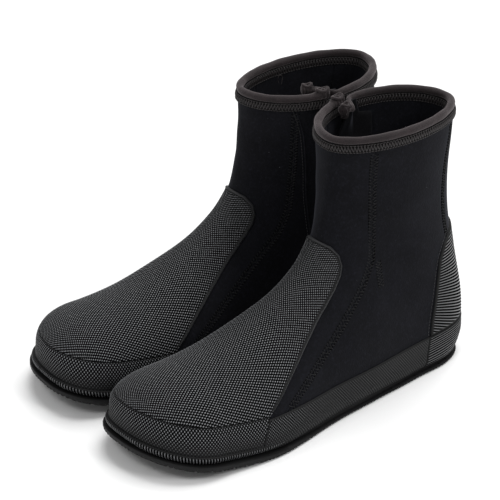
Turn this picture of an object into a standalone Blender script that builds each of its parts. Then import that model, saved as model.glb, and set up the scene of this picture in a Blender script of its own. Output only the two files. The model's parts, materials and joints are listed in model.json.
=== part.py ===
"""A pair of zip-up neoprene dive boots, built piece by piece as a boot comes apart on a bench.

World frame: metres, +Z up, ground at Z 0, toes towards -Y, the left boot at +X, origin in the pair's middle.
Boot frame, used by the shape functions below: millimetres, x outwards (lateral), f forwards from the heel,
z up. The right boot is the left one mirrored. Everything soft follows one surface, the outside of the
neoprene upper, and the layers are offsets of that surface, so they nest like the real laminations.
"""

import math

import bmesh
import bpy
from mathutils import Matrix, Vector

MM = 0.001

# ---------------------------------------------------------------- driving dimensions, millimetres and degrees

# Stations of the upper, toe to cuff. Each is a section along a line from its plantar point to its dorsal
# point: dorsal (f, z), plantar (f, z), lateral and medial half width, height share of the widest level,
# then the height and width powers of the rounded upper half and of the squarer lower half.
STATIONS = (
    (238.0, 54.0, 238.0, -2.0, 47.0, 46.0, 0.43, 1.00, 0.95, 0.55, 0.50),
    (202.0, 62.0, 202.0, -2.0, 51.0, 48.0, 0.40, 1.00, 1.00, 0.55, 0.50),
    (172.0, 75.0, 170.0, -2.0, 49.0, 44.0, 0.37, 1.00, 1.05, 0.55, 0.50),
    (149.0, 89.0, 129.0, -2.0, 44.0, 38.0, 0.36, 1.00, 1.08, 0.55, 0.50),
    (132.0, 104.0, 86.0, -2.0, 41.0, 36.0, 0.37, 1.00, 1.05, 0.60, 0.54),
    (123.0, 118.0, 42.0, -2.0, 36.0, 36.0, 0.40, 1.00, 1.00, 0.60, 0.50),
    (120.0, 127.0, 10.0, -1.0, 33.0, 36.5, 0.42, 1.00, 1.00, 0.56, 0.46),
    (118.0, 136.0, -7.0, 10.0, 31.5, 37.0, 0.44, 1.00, 1.00, 0.66, 0.58),
    (116.5, 145.0, -12.0, 27.0, 30.0, 38.0, 0.45, 1.00, 1.00, 0.82, 0.76),
    (115.0, 154.0, -12.5, 47.0, 28.5, 38.5, 0.47, 1.00, 1.00, 0.92, 0.88),
    (114.0, 166.0, -6.0, 83.0, 27.0, 40.0, 0.49, 1.00, 1.00, 1.00, 1.00),
    (112.5, 177.0, 1.0, 122.0, 27.0, 41.0, 0.50, 1.00, 1.00, 1.00, 1.00),
    (112.5, 187.0, 2.0, 158.0, 28.0, 43.0, 0.50, 1.00, 1.00, 1.00, 1.00),
    (113.5, 200.0, -1.0, 203.0, 30.0, 45.0, 0.50, 1.00, 1.00, 1.00, 1.00),
)
TOE_F, TOE_Z = 285.0, 25.0  # the foremost point of the upper
TOE_DRIFT = 8.0  # how far the toe point sits towards the big toe
TOE_DRIFT_POWER = 2.2
TOE_ROUNDNESS = 2.3  # 2 is an ellipse in plan, more is blunter
TOE_TOP_SLOPE = 0.7  # share of the vamp's slope that the top of the toe box keeps
TOE_WALL_POWER = 0.35  # below 1 keeps the toe's lower wall upright
SPRING_START, SPRING_LENGTH, SPRING_RISE = 190.0, 95.0, 14.0  # toe spring: the sole rises ahead of the ball

BODY_RINGS, TOE_RINGS, POINTS_AROUND = 17, 5, 20

# Layers, as offsets from the outside of the neoprene.
NEOPRENE = (-5.0, 0.0)
RUBBER_SKIN = (0.3, 1.8)
FOXING = (2.1, 4.6)
GUSSET = (-8.3, -6.8)
CAVITY = -6.0
GAP = 0.3

# Levels of the sole stack above the ground.
OUTSOLE_TOP = 6.0
BOARD = (6.3, 8.8)
FOOTBED = (9.1, 13.0)
UPPER_BOTTOM = 6.3
FOXING_TOP_TOE, FOXING_TOP_WAIST = 13.0, 10.5
RAND_TOP = 30.0
BUMPER_TOP = 31.5
RAND_SEAM_TOP_F, RAND_SEAM_FOOT_F = 204.0, 211.0  # the seam between side rand and toe bumper
HEEL_SEAM_TOP_F, HEEL_SEAM_FOOT_F = 39.0, 42.0  # the seam between side rand and heel rand

# Seams in side view, (f, z).
FRONT_SEAM = ((89.3, 190), (88.6, 150), (88.8, 125), (90.5, 108), (98, 94), (110, 83), (138, 60), (163, 45),
              (185, 31), (206, 14), (208.3, UPPER_BOTTOM))
OVERLAY_EDGE = ((191, 40), (179, 49), (150, 70), (133, 84), (123, 93.5), (116.5, 101.5), (113.5, 108),
                (113.6, 115), (117, 121), (122, 124), (160, 127))
OVERLAY_FOOT_F = 202.5  # where the overlay's edge meets the toe bumper
COUNTER_EDGE = ((36.5, 42), (31.5, 65), (26, 95), (21, 113), (9, 124))
COUNTER_FOOT_F, COUNTER_PEAK_Z = 37.5, 128.0
ACHILLES_HALF_WIDTH, ACHILLES_FRONT = 19.0, 34.0
FOXING_STEP = (140.0, 210.0)  # where the foxing rises from the waist's height to the toe's

# Limits of the regions below, beyond the boot on every side.
BACK, FRONT, SIDE, UNDER, ABOVE = -60.0, 320.0, 90.0, -20.0, 230.0

# Cuff binding.
BINDING_DROP, BINDING_RISE = 6.0, 2.2  # how far it reaches below and above the rim
BINDING_OUT, BINDING_IN = 2.1, 7.6  # its faces, as distances from the outside of the neoprene
BINDING_GAP, BINDING_INNER_GAP = 0.3, 1.0  # the shaft narrows below the rim, so the inner leg stands off more

# Zip, on the medial side. Its own frame: u towards the toes, v up along the zip, w outwards.
ZIP_TOP, ZIP_BOTTOM = (-44.8, 62.0, 201.0), (-36.6, 59.0, 77.0)  # (x, f, z) on the upper's surface
ZIP_SLOT_HALF, ZIP_SLOT_BELOW, ZIP_SLOT_ABOVE = 6.5, 2.0, 30.0
ZIP_SLOT_DEPTH = (-9.0, 12.0)
GUSSET_SPAN = (40.0, 79.0, 68.0, 191.0)  # rear, front, bottom and top of the flap behind the zip
GUSSET_OUTER_X = -5.0
ZIP_DEPTH = 2.2  # middle of the chain below the neoprene's outside
CHAIN_HALF_THICKNESS, CHAIN_SLIT, CHAIN_EDGE = 1.0, 0.6, 3.0
TOOTH_PITCH, TOOTH_LENGTH, TOOTH_DEPTH, TOOTH_TAPER = 4.2, 2.6, 1.3, 0.3
TAPE_EDGES, TAPE_HALF_THICKNESS = (3.3, 6.2), 0.5
STOP_TOP, STOP_LENGTH, STOP_HALF_THICKNESS = 4.0, 3.0, 1.4
SLIDER_TOP, SLIDER_LENGTH, SLIDER_HALF_WIDTH = 7.6, 13.0, 5.2
SLIDER_TRAVEL, SLIDER_SPARE = 98.0, 2.1  # travel down the chain, and what is left before the bottom stop
SLIDER_PLATE, SLIDER_CLEAR, SLIDER_NECK_HALF = 1.1, 0.3, 0.3
BRIDGE_HEIGHT, BRIDGE_HALF_WIDTH, BRIDGE_WALL, PIN_RADIUS = 3.6, 3.6, 1.2, 0.8
PULL_LENGTH, PULL_HALF_WIDTH, PULL_THICKNESS, PULL_EYE, PULL_CLEAR = 12.5, 3.9, 1.8, 1.9, 0.3
PULL_NECK_LENGTH = 3.2
PULL_HOLE_HALF_WIDTH, PULL_HOLE_HALF_LENGTH = 1.6, 2.0

# Placement of each boot: (x, y) of its f = 140 point before centring, and its turn about Z in degrees.
PLACE_F = 140.0
LEFT_PLACE = (49.2, 0.3, 1.0)
RIGHT_PLACE = (-54.4, 1.5, -3.0)

COLOURS = {  # name: (colour, roughness)
    "neoprene": ((0.012, 0.012, 0.015), 0.85),
    "textured_rubber": ((0.022, 0.023, 0.025), 0.55),
    "sole_rubber": ((0.018, 0.018, 0.019), 0.60),
    "binding_knit": ((0.045, 0.033, 0.036), 0.80),
    "zip_tape": ((0.010, 0.010, 0.011), 0.85),
    "zip_plastic": ((0.020, 0.020, 0.021), 0.35),
    "insole_foam": ((0.030, 0.030, 0.033), 0.90),
    "board": ((0.080, 0.075, 0.065), 0.85),
}


# ---------------------------------------------------------------- the surface of the upper

def toe_spring(f):
    """Rise of everything at f because the sole curves up ahead of the ball."""
    return SPRING_RISE * max((f - SPRING_START) / SPRING_LENGTH, 0.0) ** 2


def between_stations(t):
    """The station at parameter t, 0 at the first and 1 at the last, on a Catmull-Rom spline."""
    last = len(STATIONS) - 1
    i = min(int(t * last), last - 1)
    u = t * last - i
    rows = [STATIONS[min(max(i + k, 0), last)] for k in (-1, 0, 1, 2)]
    if i == 0:
        rows[0] = [2 * a - b for a, b in zip(rows[1], rows[2])]
    if i == last - 1:
        rows[3] = [2 * b - a for a, b in zip(rows[1], rows[2])]
    return [
        0.5 * (2 * b + (c - a) * u + (2 * a - 5 * b + 4 * c - d) * u**2 + (3 * b - a - 3 * c + d) * u**3)
        for a, b, c, d in zip(*rows)
    ]


def section(dorsal, plantar, lateral, medial, shape):
    """Points round the section between a dorsal and a plantar point, with its half widths and its shape:
    the height share of the widest level, and the powers of the upper and the lower half."""
    centre, top_h, top_w, low_h, low_w = shape
    axis = dorsal - plantar
    middle = plantar + axis * centre
    points = []
    for k in range(POINTS_AROUND):
        angle = 2 * math.pi * k / POINTS_AROUND
        c, s = math.cos(angle), math.sin(angle)
        upper = c > 0
        rise = (1 - centre) * abs(c) ** top_h if upper else -centre * abs(c) ** low_h
        out = (lateral if s > 0 else medial) * abs(s) ** (top_w if upper else low_w)
        p = middle + axis * rise
        points.append(Vector((p.x + math.copysign(out, s), p.y, p.z + toe_spring(p.y))))
    return points


def ring(station, offset):
    """Points round one station's section, offset outwards."""
    df, dz, qf, qz, lateral, medial = station[:6]
    dorsal, plantar = Vector((0, df, dz)), Vector((0, qf, qz))
    grow = (dorsal - plantar).normalized() * offset
    return section(dorsal + grow, plantar - grow, lateral + offset, medial + offset, station[6:])


def toe_ring(g, offset):
    """Section of the toe box at share g of the way from the first station to the toe point."""
    start, top, _, bottom, lateral, medial = STATIONS[0][:6]
    slope = (top - STATIONS[1][1]) / (start - STATIONS[1][0])
    f = start + (TOE_F + offset - start) * g
    close = (1 - g**TOE_ROUNDNESS) ** (1 / TOE_ROUNDNESS)
    roof = top + offset + slope * TOE_TOP_SLOPE * (f - start)
    drift = -TOE_DRIFT * g**TOE_DRIFT_POWER
    dorsal = Vector((drift, f, TOE_Z + (roof - TOE_Z) * close))
    plantar = Vector((drift, f, TOE_Z + (bottom - offset - TOE_Z) * close**TOE_WALL_POWER))
    return section(dorsal, plantar, (lateral + offset) * close, (medial + offset) * close, STATIONS[0][6:])


def surface_rings(offset):
    """Rings of the offset surface from beside the toe point to the cuff."""
    shares = [math.cos(math.pi / 2 * k / TOE_RINGS) for k in range(1, TOE_RINGS)]
    stations = [between_stations(k / (BODY_RINGS - 1)) for k in range(BODY_RINGS)]
    return [toe_ring(g, offset) for g in shares] + [ring(station, offset) for station in stations]


def toe_point(offset):
    f = TOE_F + offset
    return Vector((-TOE_DRIFT, f, TOE_Z + toe_spring(f)))


# ---------------------------------------------------------------- mesh helpers, boot frame to Blender metres

def to_metres(p):
    """Boot frame (x, f, z) in millimetres to the boot object's frame in metres, toes towards -Y."""
    return Vector((p[0] * MM, (PLACE_F - p[1]) * MM, p[2] * MM))


def finish_mesh(name, bm):
    bmesh.ops.recalc_face_normals(bm, faces=bm.faces)
    if bm.calc_volume(signed=True) < 0:
        bmesh.ops.reverse_faces(bm, faces=bm.faces)
    mesh = bpy.data.meshes.new(name)
    bm.to_mesh(mesh)
    bm.free()
    return mesh


def add_surface(bm, offset):
    """Adds the offset surface, closed at the toe and open at the cuff, and returns its cuff ring.
    Each four-sided patch is split along the same diagonal at every offset, so that the layers nest."""
    rings = [[bm.verts.new(to_metres(p)) for p in ring_] for ring_ in surface_rings(offset)]
    tip = bm.verts.new(to_metres(toe_point(offset)))
    n = POINTS_AROUND
    for k in range(n):
        bm.faces.new((tip, rings[0][(k + 1) % n], rings[0][k]))
    for low, high in zip(rings, rings[1:]):
        for k in range(n):
            a, b, c, d = low[k], low[(k + 1) % n], high[(k + 1) % n], high[k]
            bm.faces.new((a, b, c))
            bm.faces.new((a, c, d))
    return rings[-1]


def shell_mesh(name, layer):
    """A layer of the upper as a closed skin between two offsets, open at the cuff."""
    bm = bmesh.new()
    inner, outer = add_surface(bm, layer[0]), add_surface(bm, layer[1])
    n = POINTS_AROUND
    for k in range(n):
        bm.faces.new((inner[k], inner[(k + 1) % n], outer[(k + 1) % n], outer[k]))
    return finish_mesh(name, bm)


def solid_mesh(name, offset):
    """Everything inside the offset surface."""
    bm = bmesh.new()
    bm.faces.new(add_surface(bm, offset))
    return finish_mesh(name, bm)


def with_spring(outline):
    """A side-view outline with points added ahead of the ball, so that it follows the toe spring."""
    step = 14.0
    points = []
    for (f0, z0), (f1, z1) in zip(outline, outline[1:] + outline[:1]):
        cuts = [0.0]
        if max(f0, f1) > SPRING_START and f0 != f1:
            stops = [SPRING_START + step * k for k in range(9)]
            cuts += sorted(t for t in ((s - f0) / (f1 - f0) for s in stops) if 0.001 < t < 0.999)
        points += [(f0 + (f1 - f0) * t, z0 + (z1 - z0) * t) for t in cuts]
    return [(f, z + toe_spring(f)) for f, z in points]


def between_loops(name, near, far):
    """A closed solid between two matching loops of boot-frame points."""
    bm = bmesh.new()
    sides = [[bm.verts.new(to_metres(p)) for p in loop] for loop in (near, far)]
    bm.faces.new(sides[0])
    bm.faces.new(sides[1])
    n = len(sides[0])
    for k in range(n):
        bm.faces.new((sides[0][k], sides[0][(k + 1) % n], sides[1][(k + 1) % n], sides[1][k]))
    return finish_mesh(name, bm)


def prism_mesh(outline, x_from, x_to):
    """A side-view outline carried across the boot from x_from to x_to, following the toe spring."""
    points = with_spring(list(outline))
    return between_loops("prism", *([(x, f, z) for f, z in points] for x in (x_from, x_to)))


def boolean(mesh, operation, *others):
    """The mesh after an exact Boolean with each of the others in turn."""
    scene = bpy.context.scene.collection
    subject = bpy.data.objects.new("subject", mesh)
    scene.objects.link(subject)
    tools = []
    for other in others:
        tool = bpy.data.objects.new("tool", other)
        scene.objects.link(tool)
        tools.append(tool)
        modifier = subject.modifiers.new("cut", "BOOLEAN")
        modifier.operation = operation
        modifier.solver = "EXACT"
        modifier.object = tool
    graph = bpy.context.evaluated_depsgraph_get()
    graph.update()
    result = bpy.data.meshes.new_from_object(subject.evaluated_get(graph))
    for helper in [subject] + tools:
        bpy.data.objects.remove(helper)
    return result


def keep(mesh, *regions):
    return boolean(mesh, "INTERSECT", *regions)


def drop(mesh, *regions):
    return boolean(mesh, "DIFFERENCE", *regions)


def join(mesh, *others):
    return boolean(mesh, "UNION", *others)


# ---------------------------------------------------------------- regions in side view

def level_band(low, high):
    """Everything between two levels above the ground."""
    return prism_mesh(((BACK, low), (FRONT, low), (FRONT, high), (BACK, high)), -SIDE, SIDE)


def shifted(line, df):
    return [(f + df, z) for f, z in line]


def ahead_of_seam():
    """The front panel's region: forward of the front seam and above the outsole."""
    line = shifted(((FRONT_SEAM[0][0], ABOVE),) + FRONT_SEAM, GAP / 2)
    return prism_mesh(line + [(FRONT, UPPER_BOTTOM), (FRONT, ABOVE)], -SIDE, SIDE)


def behind_seam(x_from, x_to):
    """A quarter's region: behind the front seam and above the outsole."""
    line = shifted(((FRONT_SEAM[0][0], ABOVE),) + FRONT_SEAM, -GAP / 2)
    return prism_mesh(line + [(BACK, UPPER_BOTTOM), (BACK, ABOVE)], x_from, x_to)


def achilles_box(half_width, bottom=UNDER):
    """The back of the boot, to either side of the Achilles."""
    outline = ((BACK, bottom), (ACHILLES_FRONT, bottom), (ACHILLES_FRONT, ABOVE), (BACK, ABOVE))
    return prism_mesh(outline, -half_width, half_width)


# ---------------------------------------------------------------- upper

def front_panel():
    """Shin and vamp in one piece of neoprene, from the cuff to the toe."""
    return keep(shell_mesh("front_panel", NEOPRENE), ahead_of_seam())


def lateral_quarter():
    quarter = keep(shell_mesh("lateral_quarter", NEOPRENE), behind_seam(1.0, SIDE))
    return drop(quarter, achilles_box(ACHILLES_HALF_WIDTH + GAP))


def medial_quarter():
    """The inner side panel, with the slot that the zip is sewn into."""
    quarter = keep(shell_mesh("medial_quarter", NEOPRENE), behind_seam(-SIDE, -1.0))
    return drop(quarter, achilles_box(ACHILLES_HALF_WIDTH + GAP), zip_slot())


def achilles_panel():
    """The strip of neoprene up the back of the heel."""
    return keep(shell_mesh("achilles_panel", NEOPRENE), achilles_box(ACHILLES_HALF_WIDTH, UPPER_BOTTOM))


def cuff_binding():
    """A folded knit binding over the cuff's rim, open at the zip."""
    rim = between_stations(1.0)
    profile = (
        (BINDING_GAP, -BINDING_DROP), (BINDING_OUT - 0.5, -BINDING_DROP), (BINDING_OUT, -BINDING_DROP / 2),
        (BINDING_OUT - 0.4, BINDING_RISE / 2), (0.3, BINDING_RISE), (-5.3, BINDING_RISE),
        (0.4 - BINDING_IN, BINDING_RISE / 2), (-BINDING_IN, -BINDING_DROP / 2),
        (0.5 - BINDING_IN, -BINDING_DROP),
        (NEOPRENE[0] - BINDING_INNER_GAP, -BINDING_DROP), (NEOPRENE[0] - BINDING_INNER_GAP, BINDING_GAP),
        (BINDING_GAP, BINDING_GAP),
    )
    rings = [[p + Vector((0, 0, rise)) for p in ring(rim, offset)] for offset, rise in profile]
    bm = bmesh.new()
    loops = [[bm.verts.new(to_metres(p)) for p in ring_] for ring_ in rings]
    m, n = len(loops), POINTS_AROUND
    for j in range(m):
        for k in range(n):
            a, b = loops[j], loops[(j + 1) % m]
            bm.faces.new((a[k], a[(k + 1) % n], b[(k + 1) % n], b[k]))
    whole = finish_mesh("cuff_binding", bm)
    return drop(whole, zip_slot())


# ---------------------------------------------------------------- rubber skins

def rubber(name, outline, x_from=-SIDE, x_to=SIDE):
    """The part of the rubber skin inside a side-view outline."""
    return keep(shell_mesh(name, RUBBER_SKIN), prism_mesh(outline, x_from, x_to))


def rand_seam(z, side_of_gap):
    """Where the seam between the side rand and the toe bumper is at level z, on one side of its gap."""
    lean = (RAND_SEAM_TOP_F - RAND_SEAM_FOOT_F) / (RAND_TOP - UPPER_BOTTOM)
    return RAND_SEAM_FOOT_F + (z - UPPER_BOTTOM) * lean + side_of_gap * GAP / 2, z


def heel_seam(z, side_of_gap):
    """The same for the seam between the side rand and the heel rand."""
    lean = (HEEL_SEAM_TOP_F - HEEL_SEAM_FOOT_F) / (RAND_TOP - UPPER_BOTTOM)
    return HEEL_SEAM_FOOT_F + (z - UPPER_BOTTOM) * lean + side_of_gap * GAP / 2, z


def toe_bumper():
    """The textured rubber round the toe."""
    return rubber("toe_bumper", (rand_seam(BUMPER_TOP, 1), rand_seam(UPPER_BOTTOM, 1), (FRONT, UPPER_BOTTOM),
                                 (FRONT, BUMPER_TOP)))


def vamp_overlay():
    """The textured instep guard: up the front of the ankle from the toe bumper."""
    foot = BUMPER_TOP + GAP
    outline = ((OVERLAY_FOOT_F, foot),) + OVERLAY_EDGE + ((FRONT, OVERLAY_EDGE[-1][1]), (FRONT, foot))
    return rubber("vamp_overlay", outline)


def side_rand(name, x_from, x_to):
    """The plainer rubber along one side of the foot."""
    outline = (heel_seam(UPPER_BOTTOM, 1), rand_seam(UPPER_BOTTOM, -1), rand_seam(RAND_TOP, -1),
               heel_seam(RAND_TOP, 1))
    return rubber(name, outline, x_from, x_to)


def heel_rand():
    """The rand's piece round the heel."""
    return rubber("heel_rand", ((BACK, UPPER_BOTTOM), heel_seam(UPPER_BOTTOM, -1), heel_seam(RAND_TOP, -1),
                                (BACK, RAND_TOP)))


def heel_counter():
    """The ribbed guard over the heel, pointed on the Achilles."""
    foot = RAND_TOP + GAP
    outline = ((COUNTER_FOOT_F, foot),) + COUNTER_EDGE + ((BACK, COUNTER_PEAK_Z), (BACK, foot))
    return rubber("heel_counter", outline)


# ---------------------------------------------------------------- sole stack

def outsole():
    return keep(solid_mesh("outsole", FOXING[1]), level_band(0, OUTSOLE_TOP))


def foxing_strip():
    """The ribbed band round the sole's edge, taller at the toe."""
    rear, front = FOXING_STEP
    outline = ((BACK, UPPER_BOTTOM), (FRONT, UPPER_BOTTOM), (FRONT, FOXING_TOP_TOE), (front, FOXING_TOP_TOE),
               (rear, FOXING_TOP_WAIST), (BACK, FOXING_TOP_WAIST))
    return keep(shell_mesh("foxing_strip", FOXING), prism_mesh(outline, -SIDE, SIDE))


def lasting_board():
    return keep(solid_mesh("lasting_board", CAVITY), level_band(*BOARD))


def footbed():
    return keep(solid_mesh("footbed", CAVITY), level_band(*FOOTBED))


# ---------------------------------------------------------------- zip

def zip_frame():
    """Origin at the top of the chain's middle, and the unit vectors u, v and w, in the boot frame."""
    top, bottom = Vector(ZIP_TOP), Vector(ZIP_BOTTOM)
    v = (top - bottom).normalized()
    half_height = (top.z + bottom.z) / 2
    u = surface_near(ZIP_TOP[1] + 8, half_height) - surface_near(ZIP_TOP[1] - 14, half_height)
    u = (u - v * u.dot(v)).normalized()
    w = v.cross(u)
    if w.x > 0:
        w = -w
    return top - w * ZIP_DEPTH, u, v, w


def surface_near(f, z):
    """The point of the medial side of the upper that is nearest to (f, z) in side view."""
    points = [p for ring_ in surface_rings(0.0) for p in ring_ if p.x < -10]
    return min(points, key=lambda p: (p.y - f) ** 2 + (p.z - z) ** 2)


def zip_point(u, v, w):
    """A point of the zip's frame in the boot frame: v counts downwards from the top."""
    origin, across, up, out = zip_frame()
    return origin + across * u - up * v + out * w


def zip_plate(outline, w_from, w_to, name="zip_plate"):
    """An outline in (u, v) given a thickness along w."""
    return between_loops(name, *([zip_point(u, v, w) for u, v in outline] for w in (w_from, w_to)))


def zip_box(u_from, u_to, v_from, v_to, w_from, w_to, name="zip_box"):
    return zip_plate(((u_from, v_from), (u_to, v_from), (u_to, v_to), (u_from, v_to)), w_from, w_to, name)


def zip_rod(u_from, u_to, v, w, radius, sides=12):
    """A rod across the zip."""
    turns = [2 * math.pi * k / sides for k in range(sides)]
    circle = [(v + radius * math.cos(a), w + radius * math.sin(a)) for a in turns]
    return between_loops("zip_rod", *([zip_point(u, a, b) for a, b in circle] for u in (u_from, u_to)))


def zip_length():
    return (Vector(ZIP_TOP) - Vector(ZIP_BOTTOM)).length


def zip_slot():
    """What the zip takes out of the panels and the binding: a slot to above the cuff."""
    bottom = zip_length() + ZIP_SLOT_BELOW
    return zip_box(-ZIP_SLOT_HALF, ZIP_SLOT_HALF, -ZIP_SLOT_ABOVE, bottom, *ZIP_SLOT_DEPTH)


def zip_tape(side, name):
    a, b = TAPE_EDGES
    low, high = (a, b) if side > 0 else (-b, -a)
    return zip_box(low, high, 1.0, zip_length() + 1.0, -TAPE_HALF_THICKNESS, TAPE_HALF_THICKNESS, name)


def bottom_stop_start():
    return SLIDER_TOP + SLIDER_LENGTH + SLIDER_TRAVEL + SLIDER_SPARE


def zip_chain(side, name):
    """One row of moulded teeth on their corded edge, as a comb."""
    first, last = STOP_TOP + STOP_LENGTH + GAP, bottom_stop_start() - GAP
    root = CHAIN_SLIT + TOOTH_DEPTH
    outline = [(CHAIN_EDGE, first), (root, first)]
    for k in range(int((last - first) / TOOTH_PITCH)):
        start = first + (k + 0.15) * TOOTH_PITCH
        end = start + TOOTH_LENGTH
        outline += [(root, start), (CHAIN_SLIT, start + TOOTH_TAPER),
                    (CHAIN_SLIT, end - TOOTH_TAPER), (root, end)]
    outline += [(root, last), (CHAIN_EDGE, last)]
    return zip_plate([(side * u, v) for u, v in outline], -CHAIN_HALF_THICKNESS, CHAIN_HALF_THICKNESS, name)


def zip_top_stop(side, name):
    low, high = sorted((side * CHAIN_SLIT, side * CHAIN_EDGE))
    half = STOP_HALF_THICKNESS
    return zip_box(low, high, STOP_TOP, STOP_TOP + STOP_LENGTH, -half, half, name)


def zip_bottom_stop():
    start, half = bottom_stop_start(), STOP_HALF_THICKNESS
    return zip_box(-CHAIN_EDGE, CHAIN_EDGE, start, start + STOP_LENGTH, -half, half, "zip_bottom_stop")


def pin_place():
    """Where the pull's pin crosses the zip: (v, w)."""
    return SLIDER_TOP + SLIDER_LENGTH * 0.42, slider_top_face() + BRIDGE_HEIGHT - PIN_RADIUS - 0.6


def slider_top_face():
    return CHAIN_HALF_THICKNESS + SLIDER_CLEAR + SLIDER_PLATE


def slider_outline(scale):
    """The slider's shield shape, wider at its upper end where the chains part."""
    a, b = SLIDER_TOP, SLIDER_TOP + SLIDER_LENGTH
    wide, narrow = SLIDER_HALF_WIDTH * scale, SLIDER_HALF_WIDTH * 0.72 * scale
    half = [(narrow * 0.55, b), (narrow, b - 2.0), (narrow * 1.05, b - 6.0),
            (wide, a + 4.0), (wide * 0.8, a + 1.2), (wide * 0.4, a)]
    return half + [(-u, v) for u, v in reversed(half)]


def zip_slider():
    """Two plates joined by a thin neck in the chain's slit, with two ears and the pull's pin on top."""
    near, far = CHAIN_HALF_THICKNESS + SLIDER_CLEAR, slider_top_face()
    front = zip_plate(slider_outline(1.0), near, far, "zip_slider")
    back = zip_plate(slider_outline(0.94), -far, -near, "back")
    neck = zip_box(-SLIDER_NECK_HALF, SLIDER_NECK_HALF, SLIDER_TOP + 1.0, SLIDER_TOP + 6.0,
                   -near - 0.4, near + 0.4)
    v, w = pin_place()
    ears = [zip_box(s * BRIDGE_HALF_WIDTH - BRIDGE_WALL / 2, s * BRIDGE_HALF_WIDTH + BRIDGE_WALL / 2,
                    v - 1.8, v + 1.8, far - 0.3, far + BRIDGE_HEIGHT) for s in (-1, 1)]
    pin = zip_rod(-BRIDGE_HALF_WIDTH, BRIDGE_HALF_WIDTH, v, w, PIN_RADIUS)
    return join(front, back, neck, ears[0], ears[1], pin)


def zip_pull():
    """A short flat tab with an eye round the slider's pin and a hole for a cord at its free end."""
    v, w = pin_place()
    half, thick, end = PULL_HALF_WIDTH, PULL_THICKNESS / 2, v + PULL_LENGTH
    neck = BRIDGE_HALF_WIDTH - BRIDGE_WALL / 2 - GAP
    waist = neck - 0.25
    neck_end = v + PULL_NECK_LENGTH
    right_side = [(waist, v + 0.4), (waist, neck_end), (half, neck_end + 1.8),
                  (half, end - 2.2), (half - 1.6, end)]
    outline = right_side + [(-a, b) for a, b in reversed(right_side)]
    plate = zip_plate(outline, w - thick, w + thick, "zip_pull")
    collar = zip_rod(-neck, neck, v, w, PULL_EYE)
    bore = zip_rod(-neck - 1, neck + 1, v, w, PIN_RADIUS + PULL_CLEAR)
    turns = [2 * math.pi * k / 12 for k in range(12)]
    middle = end - 2.0 - PULL_HOLE_HALF_LENGTH
    hole = [(PULL_HOLE_HALF_WIDTH * math.cos(a), middle + PULL_HOLE_HALF_LENGTH * math.sin(a)) for a in turns]
    window = zip_plate(hole, w - 3, w + 3)
    return drop(join(plate, collar), bore, window)


def zip_gusset():
    """The thin water flap behind the zip."""
    back, front, low, high = GUSSET_SPAN
    outline = ((back, low), (front, low), (front, high), (back, high))
    return keep(shell_mesh("zip_gusset", GUSSET), prism_mesh(outline, -SIDE, GUSSET_OUTER_X))


# ---------------------------------------------------------------- the pair

PIECES = (  # name, builder, colour
    ("outsole", outsole, "sole_rubber"),
    ("foxing_strip", foxing_strip, "sole_rubber"),
    ("lasting_board", lasting_board, "board"),
    ("footbed", footbed, "insole_foam"),
    ("front_panel", front_panel, "neoprene"),
    ("lateral_quarter", lateral_quarter, "neoprene"),
    ("medial_quarter", medial_quarter, "neoprene"),
    ("achilles_panel", achilles_panel, "neoprene"),
    ("toe_bumper", toe_bumper, "textured_rubber"),
    ("vamp_overlay", vamp_overlay, "textured_rubber"),
    ("lateral_rand", lambda: side_rand("lateral_rand", 1.0, SIDE), "textured_rubber"),
    ("medial_rand", lambda: side_rand("medial_rand", -SIDE, -1.0), "textured_rubber"),
    ("heel_rand", heel_rand, "textured_rubber"),
    ("heel_counter", heel_counter, "textured_rubber"),
    ("cuff_binding", cuff_binding, "binding_knit"),
    ("zip_gusset", zip_gusset, "neoprene"),
    ("zip_tape_front", lambda: zip_tape(1, "zip_tape_front"), "zip_tape"),
    ("zip_tape_rear", lambda: zip_tape(-1, "zip_tape_rear"), "zip_tape"),
    ("zip_chain_front", lambda: zip_chain(1, "zip_chain_front"), "zip_plastic"),
    ("zip_chain_rear", lambda: zip_chain(-1, "zip_chain_rear"), "zip_plastic"),
    ("zip_top_stop_front", lambda: zip_top_stop(1, "zip_top_stop_front"), "zip_plastic"),
    ("zip_top_stop_rear", lambda: zip_top_stop(-1, "zip_top_stop_rear"), "zip_plastic"),
    ("zip_bottom_stop", zip_bottom_stop, "zip_plastic"),
    ("zip_slider", zip_slider, "zip_plastic"),
    ("zip_pull", zip_pull, "zip_plastic"),
)
MOVING = ("zip_slider", "zip_pull")
ROUND = ("front_panel", "lateral_quarter", "medial_quarter", "achilles_panel", "toe_bumper",
         "vamp_overlay", "lateral_rand", "medial_rand", "heel_rand", "heel_counter", "cuff_binding",
         "foxing_strip", "zip_gusset")
SMOOTH_ANGLE = math.radians(40)


def clear_scene():
    for obj in list(bpy.data.objects):
        bpy.data.objects.remove(obj)


def material(name, colour_name):
    colour, roughness = COLOURS[colour_name]
    made = bpy.data.materials.new(name)
    made.use_nodes = True
    shader = made.node_tree.nodes["Principled BSDF"]
    shader.inputs["Base Color"].default_value = (*colour, 1.0)
    shader.inputs["Roughness"].default_value = roughness
    shader.inputs["Metallic"].default_value = 0.0
    made.diffuse_color = (*colour, 1.0)
    return made


def mirrored(mesh):
    """A copy of the mesh for the other foot."""
    copy = mesh.copy()
    copy.transform(Matrix.Scale(-1, 4, Vector((1, 0, 0))))
    copy.flip_normals()
    return copy


def pin_pivot():
    """The middle of the pull's pin in the boot object's frame: the origin of the slider and of the pull."""
    return to_metres(zip_point(0, *pin_place()))


def boot_empty(name, place, collection):
    x, y, turn = place
    empty = bpy.data.objects.new(name, None)
    empty.location = (x * MM, y * MM, 0)
    empty.rotation_euler = (0, 0, math.radians(turn))
    collection.objects.link(empty)
    return empty


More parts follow.
